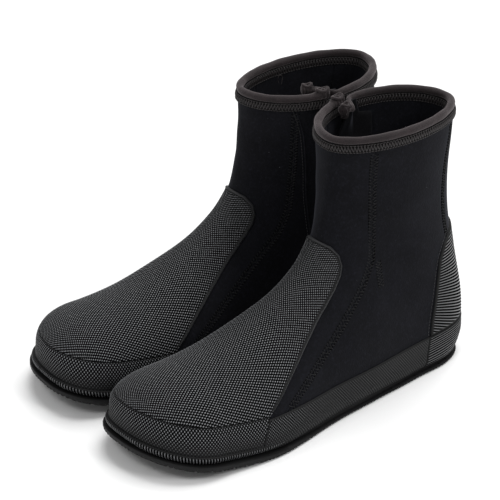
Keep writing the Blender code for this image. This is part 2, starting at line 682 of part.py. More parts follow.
def add_piece(name, mesh, colour_name, pivot, boot, collection):
    mesh.transform(Matrix.Translation(-pivot))
    mesh.name = name
    mesh.materials.clear()
    mesh.materials.append(material(name, colour_name))
    if name.split("_", 1)[1] in ROUND:
        mesh.shade_smooth()
        mesh.set_sharp_from_angle(angle=SMOOTH_ANGLE)
    obj = bpy.data.objects.new(name, mesh)
    obj.location = pivot
    obj.parent = boot
    collection.objects.link(obj)
    return obj


def centre_pair(boots, pieces):
    """Moves both boots so that the origin is the middle of the pair's footprint."""
    bpy.context.view_layer.update()
    corners = [piece.matrix_world @ Vector(corner) for piece in pieces for corner in piece.bound_box]
    xs, ys = [c.x for c in corners], [c.y for c in corners]
    middle = Vector(((min(xs) + max(xs)) / 2, (min(ys) + max(ys)) / 2, 0))
    for boot in boots:
        boot.location -= middle


def build_pair():
    clear_scene()
    collection = bpy.data.collections.new("neoprene_boots")
    bpy.context.scene.collection.children.link(collection)
    left = boot_empty("left_boot", LEFT_PLACE, collection)
    right = boot_empty("right_boot", RIGHT_PLACE, collection)
    pieces = []
    for name, build_piece, colour_name in PIECES:
        mesh = build_piece()
        pivot = pin_pivot() if name in MOVING else Vector((0, 0, 0))
        other = mirrored(mesh)
        pieces.append(add_piece("left_" + name, mesh, colour_name, pivot, left, collection))
        over = Vector((-pivot.x, pivot.y, pivot.z))
        pieces.append(add_piece("right_" + name, other, colour_name, over, right, collection))
    centre_pair((left, right), pieces)


build_pair()
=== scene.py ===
"""The looks of a pair of zip-up neoprene dive boots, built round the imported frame.

Boot frame, used by the shape functions: millimetres, x outwards (lateral), f forwards from the heel, z up.
"Level" points leave out the toe spring, which lifted() adds. Every piece is made for the left boot and mirrored.
"""

import json
import math

import bmesh
import bpy
import numpy as np
from mathutils import Matrix, Vector
from mathutils.bvhtree import BVHTree


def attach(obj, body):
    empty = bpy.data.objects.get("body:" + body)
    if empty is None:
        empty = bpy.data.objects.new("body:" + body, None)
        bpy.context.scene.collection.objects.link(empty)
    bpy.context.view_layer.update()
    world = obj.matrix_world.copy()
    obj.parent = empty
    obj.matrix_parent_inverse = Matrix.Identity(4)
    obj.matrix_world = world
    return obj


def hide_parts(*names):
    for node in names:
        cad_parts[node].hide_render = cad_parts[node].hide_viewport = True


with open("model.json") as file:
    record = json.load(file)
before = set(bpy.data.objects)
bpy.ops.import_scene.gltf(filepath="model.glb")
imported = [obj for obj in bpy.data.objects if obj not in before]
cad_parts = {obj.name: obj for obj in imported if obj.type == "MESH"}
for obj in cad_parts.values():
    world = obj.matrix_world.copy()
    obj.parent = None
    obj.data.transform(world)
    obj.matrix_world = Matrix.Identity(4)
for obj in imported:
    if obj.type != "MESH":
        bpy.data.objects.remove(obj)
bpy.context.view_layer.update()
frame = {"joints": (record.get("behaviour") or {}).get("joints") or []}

MM = 0.001
UP = np.array((0.0, 0.0, 1.0))

# ---------------------------------------------------------------- sizes, most of them as in the CAD

# A station is a section of the upper: its dorsal (f, z) and plantar (f, z) points, its lateral and medial half
# width, where its widest level is as a share of its height, and the powers that shape its upper and lower half.
STATIONS = np.array((
    (238.0, 54.0, 238.0, -2.0, 47.0, 46.0, 0.43, 1.00, 0.95, 0.55, 0.50),
    (202.0, 62.0, 202.0, -2.0, 51.0, 48.0, 0.40, 1.00, 1.00, 0.55, 0.50),
    (172.0, 75.0, 170.0, -2.0, 49.0, 44.0, 0.37, 1.00, 1.05, 0.55, 0.50),
    (149.0, 89.0, 129.0, -2.0, 44.0, 38.0, 0.36, 1.00, 1.08, 0.55, 0.50),
    (132.0, 104.0, 86.0, -2.0, 41.0, 36.0, 0.37, 1.00, 1.05, 0.60, 0.54),
    (123.0, 118.0, 42.0, -2.0, 36.0, 36.0, 0.40, 1.00, 1.00, 0.60, 0.50),
    (120.0, 127.0, 10.0, -1.0, 33.0, 36.5, 0.42, 1.00, 1.00, 0.56, 0.46),
    (118.0, 136.0, -7.0, 10.0, 31.5, 37.0, 0.44, 1.00, 1.00, 0.66, 0.58),
    (116.5, 145.0, -12.0, 27.0, 30.0, 38.0, 0.45, 1.00, 1.00, 0.82, 0.76),
    (115.0, 154.0, -12.5, 47.0, 28.5, 38.5, 0.47, 1.00, 1.00, 0.92, 0.88),
    (114.0, 166.0, -6.0, 83.0, 27.0, 40.0, 0.49, 1.00, 1.00, 1.00, 1.00),
    (112.5, 177.0, 1.0, 122.0, 27.0, 41.0, 0.50, 1.00, 1.00, 1.00, 1.00),
    (112.5, 187.0, 2.0, 158.0, 28.0, 43.0, 0.50, 1.00, 1.00, 1.00, 1.00),
    (113.5, 200.0, -1.0, 203.0, 30.0, 45.0, 0.50, 1.00, 1.00, 1.00, 1.00),
))
TOE_F, TOE_Z = 285.0, 25.0
TOE_DRIFT, TOE_DRIFT_POWER = 8.0, 2.2
TOE_ROUNDNESS, TOE_TOP_SLOPE, TOE_WALL_POWER = 2.3, 0.7, 0.35
SPRING_START, SPRING_LENGTH, SPRING_RISE = 190.0, 95.0, 14.0
PLACE_F = 140.0
TOE_CENTRE_F, HEEL_CENTRE_F = 232.0, 36.0

NEOPRENE = 5.0
SKIN_LOW, SKIN_RISE = 0.3, 0.95
UPPER_BOTTOM, OUTSOLE_TOP = 6.3, 6.0
BUMPER_TOP, RAND_TOP = 31.5, 30.0
FOXING_OUTER = 4.6

# Seams and edges in side view, as (f, z).
FRONT_SEAM = ((89.3, 230), (89.3, 190), (88.6, 150), (88.8, 125), (90.5, 108), (98, 94), (110, 83), (138, 60),
              (163, 45), (185, 31), (206, 14), (208.3, 6.3))
OVERLAY_EDGE = ((202.5, 31.8), (191, 40), (179, 49), (150, 70), (133, 84), (123, 93.5), (116.5, 101.5),
                (113.5, 108), (113.6, 115), (117, 121), (122, 124), (160, 127))
COUNTER_EDGE = ((37.5, 30.3), (36.5, 42), (31.5, 65), (26, 87), (18.5, 97), (8, 103.5), (-2, 107.5), (-60, 111))
COUNTER_OUTLINE = COUNTER_EDGE + ((-60, 30.3),)
RIDGE = ((90.0, 196), (87.5, 188), (82.5, 172), (79.5, 145), (76.5, 110), (72.5, 78), (66.5, 50), (62.0, 31.5))
ACHILLES_HALF, ACHILLES_FRONT = 19.15, 34.0

ZIP_TOP, ZIP_BOTTOM = np.array((-44.8, 62.0, 201.0)), np.array((-36.6, 59.0, 77.0))
ZIP_DEPTH, ZIP_SLOT_HALF = 2.2, 6.5
TEETH_PITCH, TEETH_FIRST, TEETH_LAST = 2.6, 7.4, 120.2
SLIDER_TOP, SLIDER_LENGTH = 7.6, 13.0
PIN_V, PIN_W = SLIDER_TOP + SLIDER_LENGTH * 0.42, 4.6
PULL_LENGTH = 12.5

RIM_HALF_GAP = 4.2
FLAP_REACH, FLAP_DEPTH = 25.0, 15.0
ROLL_DEPTH = 2.5
# Section of the binding's roll, as (outwards, up) from the rim.
ROLL = ((-2.9, -2.6), (-1.25, -2.45), (-0.2, -1.95), (0.3, -0.95), (0.4, 0.2), (0.05, 1.3), (-0.7, 2.15),
        (-1.65, 2.6), (-2.7, 2.7), (-3.7, 2.45), (-4.55, 1.85), (-5.15, 0.95), (-5.35, -0.2), (-5.15, -1.2),
        (-4.55, -2.05), (-3.7, -2.5))

PANEL_STEP, OVERLAY_STEP, BAND_STEP, RIB_PITCH = 1.5, 0.5, 0.42, 2.35
KNURL_A, KNURL_B = 2.2, 3.35

# Where each boot stands: (x, y) in metres, its turn in degrees, and 1 or -1 for its mirror image.
BOOTS = {"left": (0.054352738, -0.003631902, 1.0, 1), "right": (-0.049247263, -0.002431902, -3.0, -1)}


# ---------------------------------------------------------------- helpers on points

def smooth(x, low, high):
    t = np.clip((x - low) / (high - low), 0, 1)
    return t * t * (3 - 2 * t)


def bump_at(x, centre, width):
    return np.exp(-((x - centre) / width)**2)


def ridge(x, sharpness=1.0):
    """1 to 0 to 1 once per unit of x."""
    return (0.5 + 0.5 * np.cos(2 * math.pi * x)) ** sharpness


def knurl(a, b):
    """Raised dots in staggered rows, one dot per unit of a and two rows per unit of b."""
    return np.abs(np.cos(math.pi * (a + b)) * np.cos(math.pi * (a - b)))


def rounded(edge, reach):
    """0 at an edge to 1 at reach from it, along a quarter circle."""
    return np.sqrt(np.clip(1 - (1 - np.clip(edge / reach, 0, 1))**2, 0, 1))


def unit(vectors):
    return vectors / np.maximum(np.linalg.norm(vectors, axis=-1, keepdims=True), 1e-12)


def running_length(points):
    """Distance along a polyline at each of its points."""
    return np.concatenate([[0], np.cumsum(np.linalg.norm(np.diff(points, axis=0), axis=1))])


def interpolate(wanted, run, points):
    """Points at the wanted distances along a polyline whose points are at the distances run."""
    return np.stack([np.interp(wanted, run, column) for column in points.T], 1)


def sideways(along, points, middle):
    """Level unit vectors across a line, pointing away from the middle."""
    out = unit(np.stack([along[:, 1], -along[:, 0], np.zeros(len(along))], 1))
    return out * np.sign((out * (points - middle)).sum(1))[:, None]


def region_distance(polygon, f, z):
    """Signed distance from the edge of a side-view polygon, positive inside."""
    p = np.array(polygon, float)
    best = np.full(f.shape, 1e18)
    inside = np.zeros(f.shape, bool)
    for (af, az), (bf, bz) in zip(p, np.roll(p, -1, 0)):
        df, dz = bf - af, bz - az
        t = np.clip(((f - af) * df + (z - az) * dz) / (df * df + dz * dz), 0, 1)
        best = np.minimum(best, (f - af - t * df)**2 + (z - az - t * dz)**2)
        if bz != az:
            inside ^= ((az > z) != (bz > z)) & (f < (bf - af) * (z - az) / (bz - az) + af)
    return np.sqrt(best) * np.where(inside, 1, -1)


# ---------------------------------------------------------------- surface of the upper

def lifted(points):
    """The points with the sole's toe spring."""
    out = np.array(points, float)
    out[..., 2] += SPRING_RISE * np.maximum((out[..., 1] - SPRING_START) / SPRING_LENGTH, 0.0) ** 2
    return out


def stations_at(s):
    """Stations between the given ones, along a Catmull-Rom curve. s runs from 0 to 1."""
    last = len(STATIONS) - 1
    x = np.clip(s * last, 0, last - 1e-9)
    i = x.astype(int)
    u = (x - i)[:, None]
    b, c = STATIONS[i], STATIONS[i + 1]
    a = np.where((i == 0)[:, None], 2 * b - c, STATIONS[np.maximum(i - 1, 0)])
    d = np.where((i == last - 1)[:, None], 2 * c - b, STATIONS[np.minimum(i + 2, last)])
    return 0.5 * (2 * b + (c - a) * u + (2 * a - 5 * b + 4 * c - d) * u**2 + (3 * b - a - 3 * c + d) * u**3)


def surface(T, angle, offset=0.0):
    """Level points of the offset upper. T is 0 at the toe point, 1 at the first station, 2 at the cuff."""
    T = np.asarray(T, float)
    toe = T < 1
    first = STATIONS[0]
    rows = stations_at(np.clip(T - 1, 0, 1))
    dorsal, plantar = rows[:, 0:2], rows[:, 2:4]
    grow = unit(dorsal - plantar) * offset
    dorsal, plantar = dorsal + grow, plantar - grow
    g = np.cos(math.pi / 2 * np.clip(T, 0, 1))
    close = np.maximum(1 - g**TOE_ROUNDNESS, 0) ** (1 / TOE_ROUNDNESS)
    slope = (first[1] - STATIONS[1][1]) / (first[0] - STATIONS[1][0])
    f = first[0] + (TOE_F + offset - first[0]) * g
    roof = first[1] + offset + slope * TOE_TOP_SLOPE * (f - first[0])
    toe_dorsal = np.stack([f, TOE_Z + (roof - TOE_Z) * close], 1)
    toe_plantar = np.stack([f, TOE_Z + (first[3] - offset - TOE_Z) * close**TOE_WALL_POWER], 1)
    dorsal = np.where(toe[:, None], toe_dorsal, dorsal)
    plantar = np.where(toe[:, None], toe_plantar, plantar)
    lateral, medial = [np.where(toe, (first[k] + offset) * close, rows[:, k] + offset)[:, None] for k in (4, 5)]
    drift = np.where(toe, -TOE_DRIFT * g**TOE_DRIFT_POWER, 0.0)[:, None]
    shape = np.where(toe[:, None], first[6:], rows[:, 6:])
    centre, top_h, top_w, low_h, low_w = [shape[:, k:k + 1] for k in range(5)]
    c, s = np.cos(angle), np.sin(angle)
    upper = c > 0
    rise = np.where(upper, (1 - centre) * np.abs(c)**top_h, -centre * np.abs(c)**low_h)
    out = np.where(s > 0, lateral, medial) * np.abs(s)**np.where(upper, top_w, low_w) * np.sign(s) + drift
    axis = dorsal - plantar
    middle = plantar + axis * centre
    return np.stack([out, middle[:, :1] + axis[:, :1] * rise, middle[:, 1:] + axis[:, 1:] * rise], -1)


def even_angles(T, v):
    """Angles evenly spaced along each section's outline, and their distance from the dorsal point.
    v is 0 at the dorsal point, 1 at the plantar point by the lateral side and -1 by the medial side."""
    bunched = (1 - np.cos(math.pi * np.linspace(0, 1, 90))) / 2
    half = np.concatenate([bunched * math.pi / 2, math.pi / 2 + bunched[1:] * math.pi / 2])
    angles = np.zeros((len(T), len(v)))
    arcs = np.zeros_like(angles)
    for side in (1, -1):
        points = surface(T, np.broadcast_to(side * half, (len(T), len(half))))
        columns = np.where(v >= 0 if side > 0 else v < 0)[0]
        for i in range(len(T)):
            arc = running_length(points[i])
            wanted = np.abs(v[columns]) * arc[-1]
            angles[i, columns] = side * np.interp(wanted, arc, half)
            arcs[i, columns] = side * wanted
    return angles, arcs


def even_rows(start, end, step):
    """Values of T whose sections are about step millimetres apart, and their running distance."""
    dense = np.linspace(start, end, 600)
    points = surface(dense, np.broadcast_to(np.array((-1.6, -0.8, 0.0, 0.8, 1.6)), (len(dense), 5)))
    moves = np.linalg.norm(np.diff(points, axis=0), axis=2)
    run = np.concatenate([[0], np.cumsum(moves.max(1))])
    wanted = np.linspace(0, run[-1], max(int(run[-1] / step), 2))
    return np.interp(wanted, run, dense), wanted


def grid_normals(points, wrap=False):
    """Normals of a grid of points, pointing away from its middle."""
    if wrap:
        across = np.roll(points, -1, 1) - np.roll(points, 1, 1)
    else:
        across = np.gradient(points, axis=1)
    n = np.cross(across, np.gradient(points, axis=0))
    length = np.linalg.norm(n, axis=2, keepdims=True)
    n /= np.maximum(length, 1e-12)
    if (length[0] < 1e-9).any():
        n[0] = unit(n[1].mean(0))
    return n if (n * (points - points.reshape(-1, 3).mean(0))).sum() >= 0 else -n


class Sheet:
    """A grid of level surface points, with the lifted points, their normals and a uv."""

    def __init__(self, level):
        self.level, self.outer = level, lifted(level)
        self.normals = grid_normals(self.outer)
        self.x, self.f, self.z = level[..., 0], level[..., 1], level[..., 2]
        n, m = level.shape[:2]
        i, j = np.meshgrid(np.arange(n) / (n - 1), np.arange(m) / (m - 1), indexing="ij")
        self.uv = np.stack([j, i], -1)


def upper_sheet(start, end, step, v):
    """A sheet over the upper from T = start to T = end, with distances from the first row and the dorsal line."""
    T, run = even_rows(start, end, step)
    angle, arc = even_angles(T, v)
    sheet = Sheet(surface(T, angle))
    sheet.T, sheet.angle, sheet.arc = T, angle, arc
    sheet.run = np.broadcast_to(run[:, None], arc.shape)
    return sheet


# ---------------------------------------------------------------- mesh building

def grid_quads(n, m, wrap_rows=False, wrap_columns=False):
    """Faces over a grid of n by m points, joined round at either pair of ends."""
    index = np.arange(n * m).reshape(n, m)
    if wrap_rows:
        index = np.vstack([index, index[:1]])
    if wrap_columns:
        index = np.hstack([index, index[:, :1]])
    return np.stack([index[:-1, :-1], index[:-1, 1:], index[1:, 1:], index[1:, :-1]], -1).reshape(-1, 4)


def face_arrays(quads, others=()):
    """Loop starts and loop vertices of some quads followed by faces of any length."""
    sizes = np.array([4] * len(quads) + [len(face) for face in others], int)
    loops = np.concatenate([np.asarray(quads, int).ravel()] + [np.asarray(face, int) for face in others])
    return np.concatenate([[0], np.cumsum(sizes)[:-1]]), loops


class Patch:
    """The part of a grid where phi is above 0: whole cells as quads, and cells on the edge cut along it."""

    def __init__(self, phi):
        flat = phi.ravel()
        quads = grid_quads(*phi.shape)
        count = (flat[quads] > 0).sum(1)
        whole = quads[count == 4]
        cuts, pairs, cut_faces = {}, [], []
        for quad in quads[(count > 0) & (count < 4)].tolist():
            face = []
            for a, b in zip(quad, quad[1:] + quad[:1]):
                if flat[a] > 0:
                    face.append(a)
                if (flat[a] > 0) != (flat[b] > 0):
                    key = (min(a, b), max(a, b))
                    if key not in cuts:
                        cuts[key] = phi.size + len(pairs)
                        pairs.append((*key, flat[key[0]] / (flat[key[0]] - flat[key[1]])))
                    face.append(cuts[key])
            if len(face) > 2:
                cut_faces.append(face)
        used = np.unique(np.concatenate([whole.ravel()] + [np.array(face) for face in cut_faces]))
        renumber = np.full(phi.size + len(pairs), -1)
        renumber[used] = np.arange(len(used))
        self.kept = used[used < phi.size]
        self.pairs = np.array(pairs, float).reshape(-1, 3)[used[used >= phi.size] - phi.size]
        self.starts, self.loops = face_arrays(renumber[whole], [renumber[np.array(face)] for face in cut_faces])
        self.count = len(used)

    def take(self, values):
        """Values of the grid's points at the patch's vertices."""
        flat = values.reshape(-1, values.shape[-1]) if values.ndim == 3 else values.reshape(-1, 1)
        a, b = self.pairs[:, 0].astype(int), self.pairs[:, 1].astype(int)
        t = self.pairs[:, 2:3]
        out = np.concatenate([flat[self.kept], flat[a] * (1 - t) + flat[b] * t])
        return out if values.ndim == 3 else out[:, 0]

    def walls(self):
        """Quads from each open edge of the patch to the same edge of a copy numbered after it."""
        following = np.arange(len(self.loops)) + 1
        following[np.append(self.starts[1:], len(self.loops)) - 1] = self.starts
        a, b = self.loops, self.loops[following]
        key = np.minimum(a, b) * (self.loops.max() + 1) + np.maximum(a, b)
        _, first, counts = np.unique(key, return_index=True, return_counts=True)
        a, b = a[first[counts == 1]], b[first[counts == 1]]
        return np.stack([b, a, a + self.count, b + self.count], 1)


def make_mesh(name, vertices, starts, loops, uv=None):
    """A mesh from boot-frame millimetres. uv is one pair per loop."""
    mesh = bpy.data.meshes.new(name)
    co = np.array(vertices, float)
    co = np.stack([co[:, 0], PLACE_F - co[:, 1], co[:, 2]], 1) * MM
    mesh.vertices.add(len(co))
    mesh.vertices.foreach_set("co", co.astype(np.float32).ravel())
    mesh.loops.add(len(loops))
    mesh.loops.foreach_set("vertex_index", np.asarray(loops, np.int32))
    mesh.polygons.add(len(starts))
    mesh.polygons.foreach_set("loop_start", np.asarray(starts, np.int32))
    mesh.update(calc_edges=True)
    mesh.polygons.foreach_set("use_smooth", np.ones(len(starts), bool))
    if uv is not None:
        layer = mesh.uv_layers.new(name="OFBake")
        layer.data.foreach_set("uv", np.asarray(uv, np.float32).ravel())
    return mesh


def outward(mesh, weld=0.0):
    """Turns the faces of every closed body outwards, after merging points closer than weld millimetres."""
    bm = bmesh.new()
    bm.from_mesh(mesh)
    if weld:
        bmesh.ops.remove_doubles(bm, verts=bm.verts, dist=weld * MM)
        bmesh.ops.dissolve_degenerate(bm, edges=bm.edges, dist=1e-7)
    bmesh.ops.recalc_face_normals(bm, faces=bm.faces)
    bm.to_mesh(mesh)
    bm.free()
    return mesh


def add_pattern(mesh, values):
    """Stores the relief's own coordinates and strength, which the rubber material reads for its bumps, its roughness
    and the painted shade and highlights of its relief.
    """
    layer = mesh.attributes.new("pattern", "FLOAT_VECTOR", "POINT")
    layer.data.foreach_set("vector", np.asarray(values, np.float32).ravel())


def open_skin(name, patch, top, out, depth, uv, pattern):
    """A skin's outer face, with its edge turned down by depth against out. Its faces point along out."""
    rim = patch.walls()
    edge = np.unique(rim[:, :2])
    renumber = np.full(patch.count * 2, -1)
    renumber[:patch.count] = np.arange(patch.count)
    renumber[edge + patch.count] = patch.count + np.arange(len(edge))
    walls = renumber[rim]
    starts = np.concatenate([patch.starts, len(patch.loops) + 4 * np.arange(len(walls))])
    loops = np.concatenate([patch.loops, walls.ravel()])
    source = np.concatenate([np.arange(patch.count), edge])
    vertices = np.concatenate([top, (top - out * depth[:, None])[edge]])
    mesh = make_mesh(name, vertices, starts, loops, (uv * 0.98 + 0.01)[source[loops]])
    add_pattern(mesh, pattern[source])
    got = np.zeros(len(vertices) * 3)
    mesh.vertices.foreach_get("normal", got)
    if (got.reshape(-1, 3)[:patch.count] * out * (1, -1, 1)).sum() < 0:
        mesh.flip_normals()
    return mesh


def skin_mesh(name, patch, top, bottom, uv):
    """A closed skin between two sets of vertex positions of one patch. uv is 0 to 1 over the grid."""
    walls = patch.walls()
    face_end = len(patch.loops)
    sizes = np.diff(np.append(patch.starts, face_end))
    begins, lengths = np.repeat(patch.starts, sizes), np.repeat(sizes, sizes)
    backwards = 2 * begins + lengths - 1 - np.arange(face_end)
    starts = [patch.starts, patch.starts + face_end, 2 * face_end + 4 * np.arange(len(walls))]
    loops = np.concatenate([patch.loops, patch.loops[backwards] + patch.count, walls.ravel()])
    halves = np.concatenate([uv * (0.48, 0.98) + (0.01, 0.01), uv * (0.48, 0.98) + (0.51, 0.01)])
    loop_uv = halves[loops]
    loop_uv[2 * face_end:] = halves[loops[2 * face_end:] % patch.count]
    return make_mesh(name, np.concatenate([top, bottom]), np.concatenate(starts), loops, loop_uv)


def ring_mesh(name, rows, weld=0.0, wrap_rows=False):
    """A mesh over closed rings of level points."""
    points = lifted(np.stack(rows))
    n, m = points.shape[:2]
    starts, loops = face_arrays(grid_quads(n, m, wrap_rows, True))
    i, j = np.meshgrid(np.arange(n + wrap_rows), np.arange(m + 1), indexing="ij")
    corner = np.stack([i / (n - 1 + wrap_rows), j / m], -1) * 0.98 + 0.01
    uv = np.stack([corner[:-1, :-1], corner[:-1, 1:], corner[1:, 1:], corner[1:, :-1]], 2).reshape(-1, 2)
    return outward(make_mesh(name, points.reshape(-1, 3), starts, loops, uv), weld)


def tube(rings, closed=False):
    """Vertices and faces of a tube of rings, rings[ring, round], with flat ends unless it closes on itself."""
    n, m = rings.shape[:2]
    faces = grid_quads(n, m, closed, True).tolist()
    if not closed:
        faces += [list(range(m))[::-1], list(range((n - 1) * m, n * m))]
    return rings.reshape(-1, 3), faces


def rounded_tube(rings):
    """A tube whose ends close in over two smaller rings."""
    caps = []
    for ring, before in ((rings[0], rings[1]), (rings[-1], rings[-2])):
        middle, way = ring.mean(0), unit((ring - before).mean(0))
        caps.append([middle + (ring - middle) * share + way * push for share, push in ((0.93, 0.35), (0.75, 0.8))])
    return tube(np.stack(caps[0][::-1] + list(rings) + caps[1]))


def sweep(path, radius, sides=8, closed=False):
    """A round tube along a path of points. radius is one value or one per point."""
    path = np.asarray(path, float)
    along = unit(np.roll(path, -1, 0) - np.roll(path, 1, 0) if closed else np.gradient(path, axis=0))
    guide = UP if abs(along[:, 2]).mean() < 0.8 else np.array((1.0, 0.0, 0.0))
    side = unit(np.cross(along, guide))
    up = np.cross(side, along)
    radius = np.broadcast_to(np.asarray(radius, float), (len(path),))[:, None, None]
    turns = (2 * math.pi * np.arange(sides) / sides)[None, :, None]
    return tube(path[:, None] + radius * (np.cos(turns) * side[:, None] + np.sin(turns) * up[:, None]), closed)


# ---------------------------------------------------------------- placing pieces

def place(name, mesh, material, slot, cad=False, body="boot", sharp=50.0):
    """Puts the mesh on the left boot and its mirror image on the right one. cad is for a piece that replaces
    the CAD node of the same name."""
    mesh.materials.clear()
    mesh.materials.append(material)
    for side, (x, y, turn, sign) in BOOTS.items():
        copy = mesh.copy()
        if sign < 0:
            copy.transform(Matrix.Scale(-1, 4, Vector((1, 0, 0))))
            copy.flip_normals()
        if sharp:
            copy.set_sharp_from_angle(angle=math.radians(sharp))
        obj = bpy.data.objects.new(f"{side}_{name}", copy)
        copy.name = obj.name
        bpy.context.scene.collection.objects.link(obj)
        obj.matrix_world = Matrix.Translation((x, y, 0)) @ Matrix.Rotation(math.radians(turn), 4, "Z")
        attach(obj, f"{side}_{body}")
        if cad:
            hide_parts(f"{side}_{name}")
    bpy.data.meshes.remove(mesh)


def place_parts(name, parts, material, slot, **settings):
    """Places one piece made from (vertices, faces) pairs."""
    faces, base = [], 0
    for points, part_faces in parts:
        faces += [[k + base for k in face] for face in part_faces]
        base += len(points)
    starts, loops = face_arrays(np.zeros((0, 4), int), faces)
    mesh = make_mesh(name, np.concatenate([points for points, _ in parts]), starts, loops)
    place(name, outward(mesh), material, slot, **settings)


# ---------------------------------------------------------------- materials

class Nodes:
    """A small helper for building a material's node tree."""

    def __init__(self, name):
        self.material = bpy.data.materials.new(name)
        self.material.use_nodes = True
        self.tree = self.material.node_tree
        self.shader = self.tree.nodes["Principled BSDF"]
        self.coords = self.add("ShaderNodeTexCoord").outputs["Object"]
        self.normal = None

    def feed(self, node, key, value):
        """Links an output to a node's input, or sets the input's value."""
        if isinstance(value, bpy.types.NodeSocket):
            self.tree.links.new(value, node.inputs[key])
        else:
            node.inputs[key].default_value = value

    def add(self, kind, inputs=(), **settings):
        node = self.tree.nodes.new(kind)
        for key, value in settings.items():
            setattr(node, key, value)
        for key, value in dict(inputs).items():
            self.feed(node, key, value)
        return node

    def stretched(self, stretch):
        if stretch is None:
            return self.coords
        return self.add("ShaderNodeMapping", {"Scale": stretch, "Vector": self.coords}).outputs["Vector"]

    def noise(self, scale, detail=3.0, rough=0.55, stretch=None):
        inputs = {"Scale": scale, "Detail": detail, "Roughness": rough, "Vector": self.stretched(stretch)}
        return self.add("ShaderNodeTexNoise", inputs).outputs["Fac"]

    def voronoi(self, scale, stretch=None):
        inputs = {"Scale": scale, "Vector": self.stretched(stretch)}
        return self.add("ShaderNodeTexVoronoi", inputs).outputs["Distance"]

    def ramp(self, source, low, high, bottom=0.0, top=1.0):
        """bottom where the source is at low, top where it is at high, and between them in between."""
        node = self.add("ShaderNodeValToRGB", {"Fac": source})
        for element, position, value in zip(node.color_ramp.elements, (low, high), (bottom, top)):
            element.position = position
            element.color = (value, value, value, 1)
        return node.outputs["Color"]

    def mix(self, factor, a, b):
        a, b = [(*value, 1) if isinstance(value, tuple) else value for value in (a, b)]
        return self.add("ShaderNodeMix", {0: factor, 6: a, 7: b}, data_type="RGBA").outputs[2]

    def math(self, operation, a, b=0.0):
        return self.add("ShaderNodeMath", {0: a, 1: b}, operation=operation).outputs[0]

    def colour(self, output):
        self.feed(self.shader, "Base Color", output)

    def roughness(self, source, low, high):
        node = self.add("ShaderNodeMapRange", {"To Min": low, "To Max": high, "Value": source})
        self.feed(self.shader, "Roughness", node.outputs["Result"])

    def bump(self, source, strength, distance_mm):
        inputs = {"Strength": strength, "Distance": distance_mm * MM, "Height": source}
        if self.normal is not None:
            inputs["Normal"] = self.normal
        self.normal = self.add("ShaderNodeBump", inputs).outputs["Normal"]
        self.feed(self.shader, "Normal", self.normal)

    def set(self, **values):
        for key, value in values.items():
            self.feed(self.shader, key.replace("_", " "), value)


def scaled(colour, factor):
    return tuple(factor * c for c in colour)


def jersey(name, dark, light, specks=True):
    """Fine knit face of the neoprene, with a little lint."""
    n = Nodes(name)
    loops, grain = n.voronoi(1100, stretch=(1.0, 1.0, 0.6)), n.noise(420, 3, 0.7)
    tone = n.mix(n.ramp(n.noise(38, 4), 0.3, 0.75), dark, light)
    tone = n.mix(n.ramp(loops, 0.1, 0.75, top=0.55), tone, scaled(dark, 0.45))
    tone = n.mix(n.ramp(grain, 0.52, 0.72, top=0.6), tone, scaled(light, 1.7))
    if specks:
        dots, sparse = n.ramp(n.voronoi(150), 0.0, 0.05, 1.0, 0.0), n.ramp(n.noise(45, 1), 0.56, 0.64)
        tone = n.mix(n.math("MULTIPLY", dots, sparse), tone, (0.20, 0.20, 0.22))
    n.colour(tone)
    n.roughness(n.noise(60, 3), 0.80, 0.93)
    n.bump(n.noise(26, 3), 0.35, 0.9)
    n.bump(grain, 0.35, 0.22)
    n.bump(loops, 0.55, 0.16)
    n.set(Sheen_Weight=0.05, Sheen_Roughness=0.4, Sheen_Tint=(0.75, 0.8, 1.0, 1), Specular_IOR_Level=0.12)
    return n.material


def rubber(name, dark, light, rough, grain=0.25, kind=None, shine=0.35):
    """Moulded rubber with a dusty bloom. kind is dots or ribs for one whose hollows get painted shade and whose crests
    get painted highlights.
    """
    n = Nodes(name)
    tone = n.mix(n.ramp(n.noise(30, 5, 0.65), 0.35, 0.75), dark, light)
    scuffs = n.ramp(n.noise(160, 6, 0.7, stretch=(1.0, 0.35, 1.0)), 0.62, 0.78)
    tone = n.mix(n.math("MULTIPLY", scuffs, 0.35), tone, scaled(light, 2.0))
    n.set(Specular_IOR_Level=shine)
    if kind:
        pattern = n.add("ShaderNodeAttribute", attribute_name="pattern").outputs["Vector"]
        a, b, fade = n.add("ShaderNodeSeparateXYZ", {"Vector": pattern}).outputs
        if kind == "dots":
            waves = [n.math("COSINE", n.math("MULTIPLY", n.math(way, a, b), math.pi)) for way in ("ADD", "SUBTRACT")]
            shape = n.math("ABSOLUTE", n.math("MULTIPLY", *waves))
        else:
            wave = n.math("COSINE", n.math("MULTIPLY", b, 2 * math.pi))
            shape = n.math("MULTIPLY", n.math("ADD", wave, 1.0), 0.5)
        raised = n.math("MULTIPLY", n.ramp(shape, 0.40, 0.94), fade)
        plain = n.math("MULTIPLY", n.math("SUBTRACT", 1.0, fade), 0.26)
        height = n.math("ADD", raised, plain)
        # Colour from the relief: hollows painted near black as painted shade, crests ten times lighter as painted
        # highlights, smooth rubber a fixed dark share.
        tone = n.mix(height, scaled(dark, 0.2), n.mix(raised, tone, scaled(light, 10.0)))
        n.bump(n.math("MULTIPLY", shape, fade), 0.9, 0.5)
        n.roughness(height, rough + 0.35, rough - 0.14)
        n.set(Specular_IOR_Level=n.math("MULTIPLY", height, 0.75))
    else:
        n.roughness(n.noise(70, 4, 0.6), rough - 0.07, rough + 0.08)
    n.colour(tone)
    n.bump(n.noise(420, 4, 0.6), grain, 0.15)
    return n.material


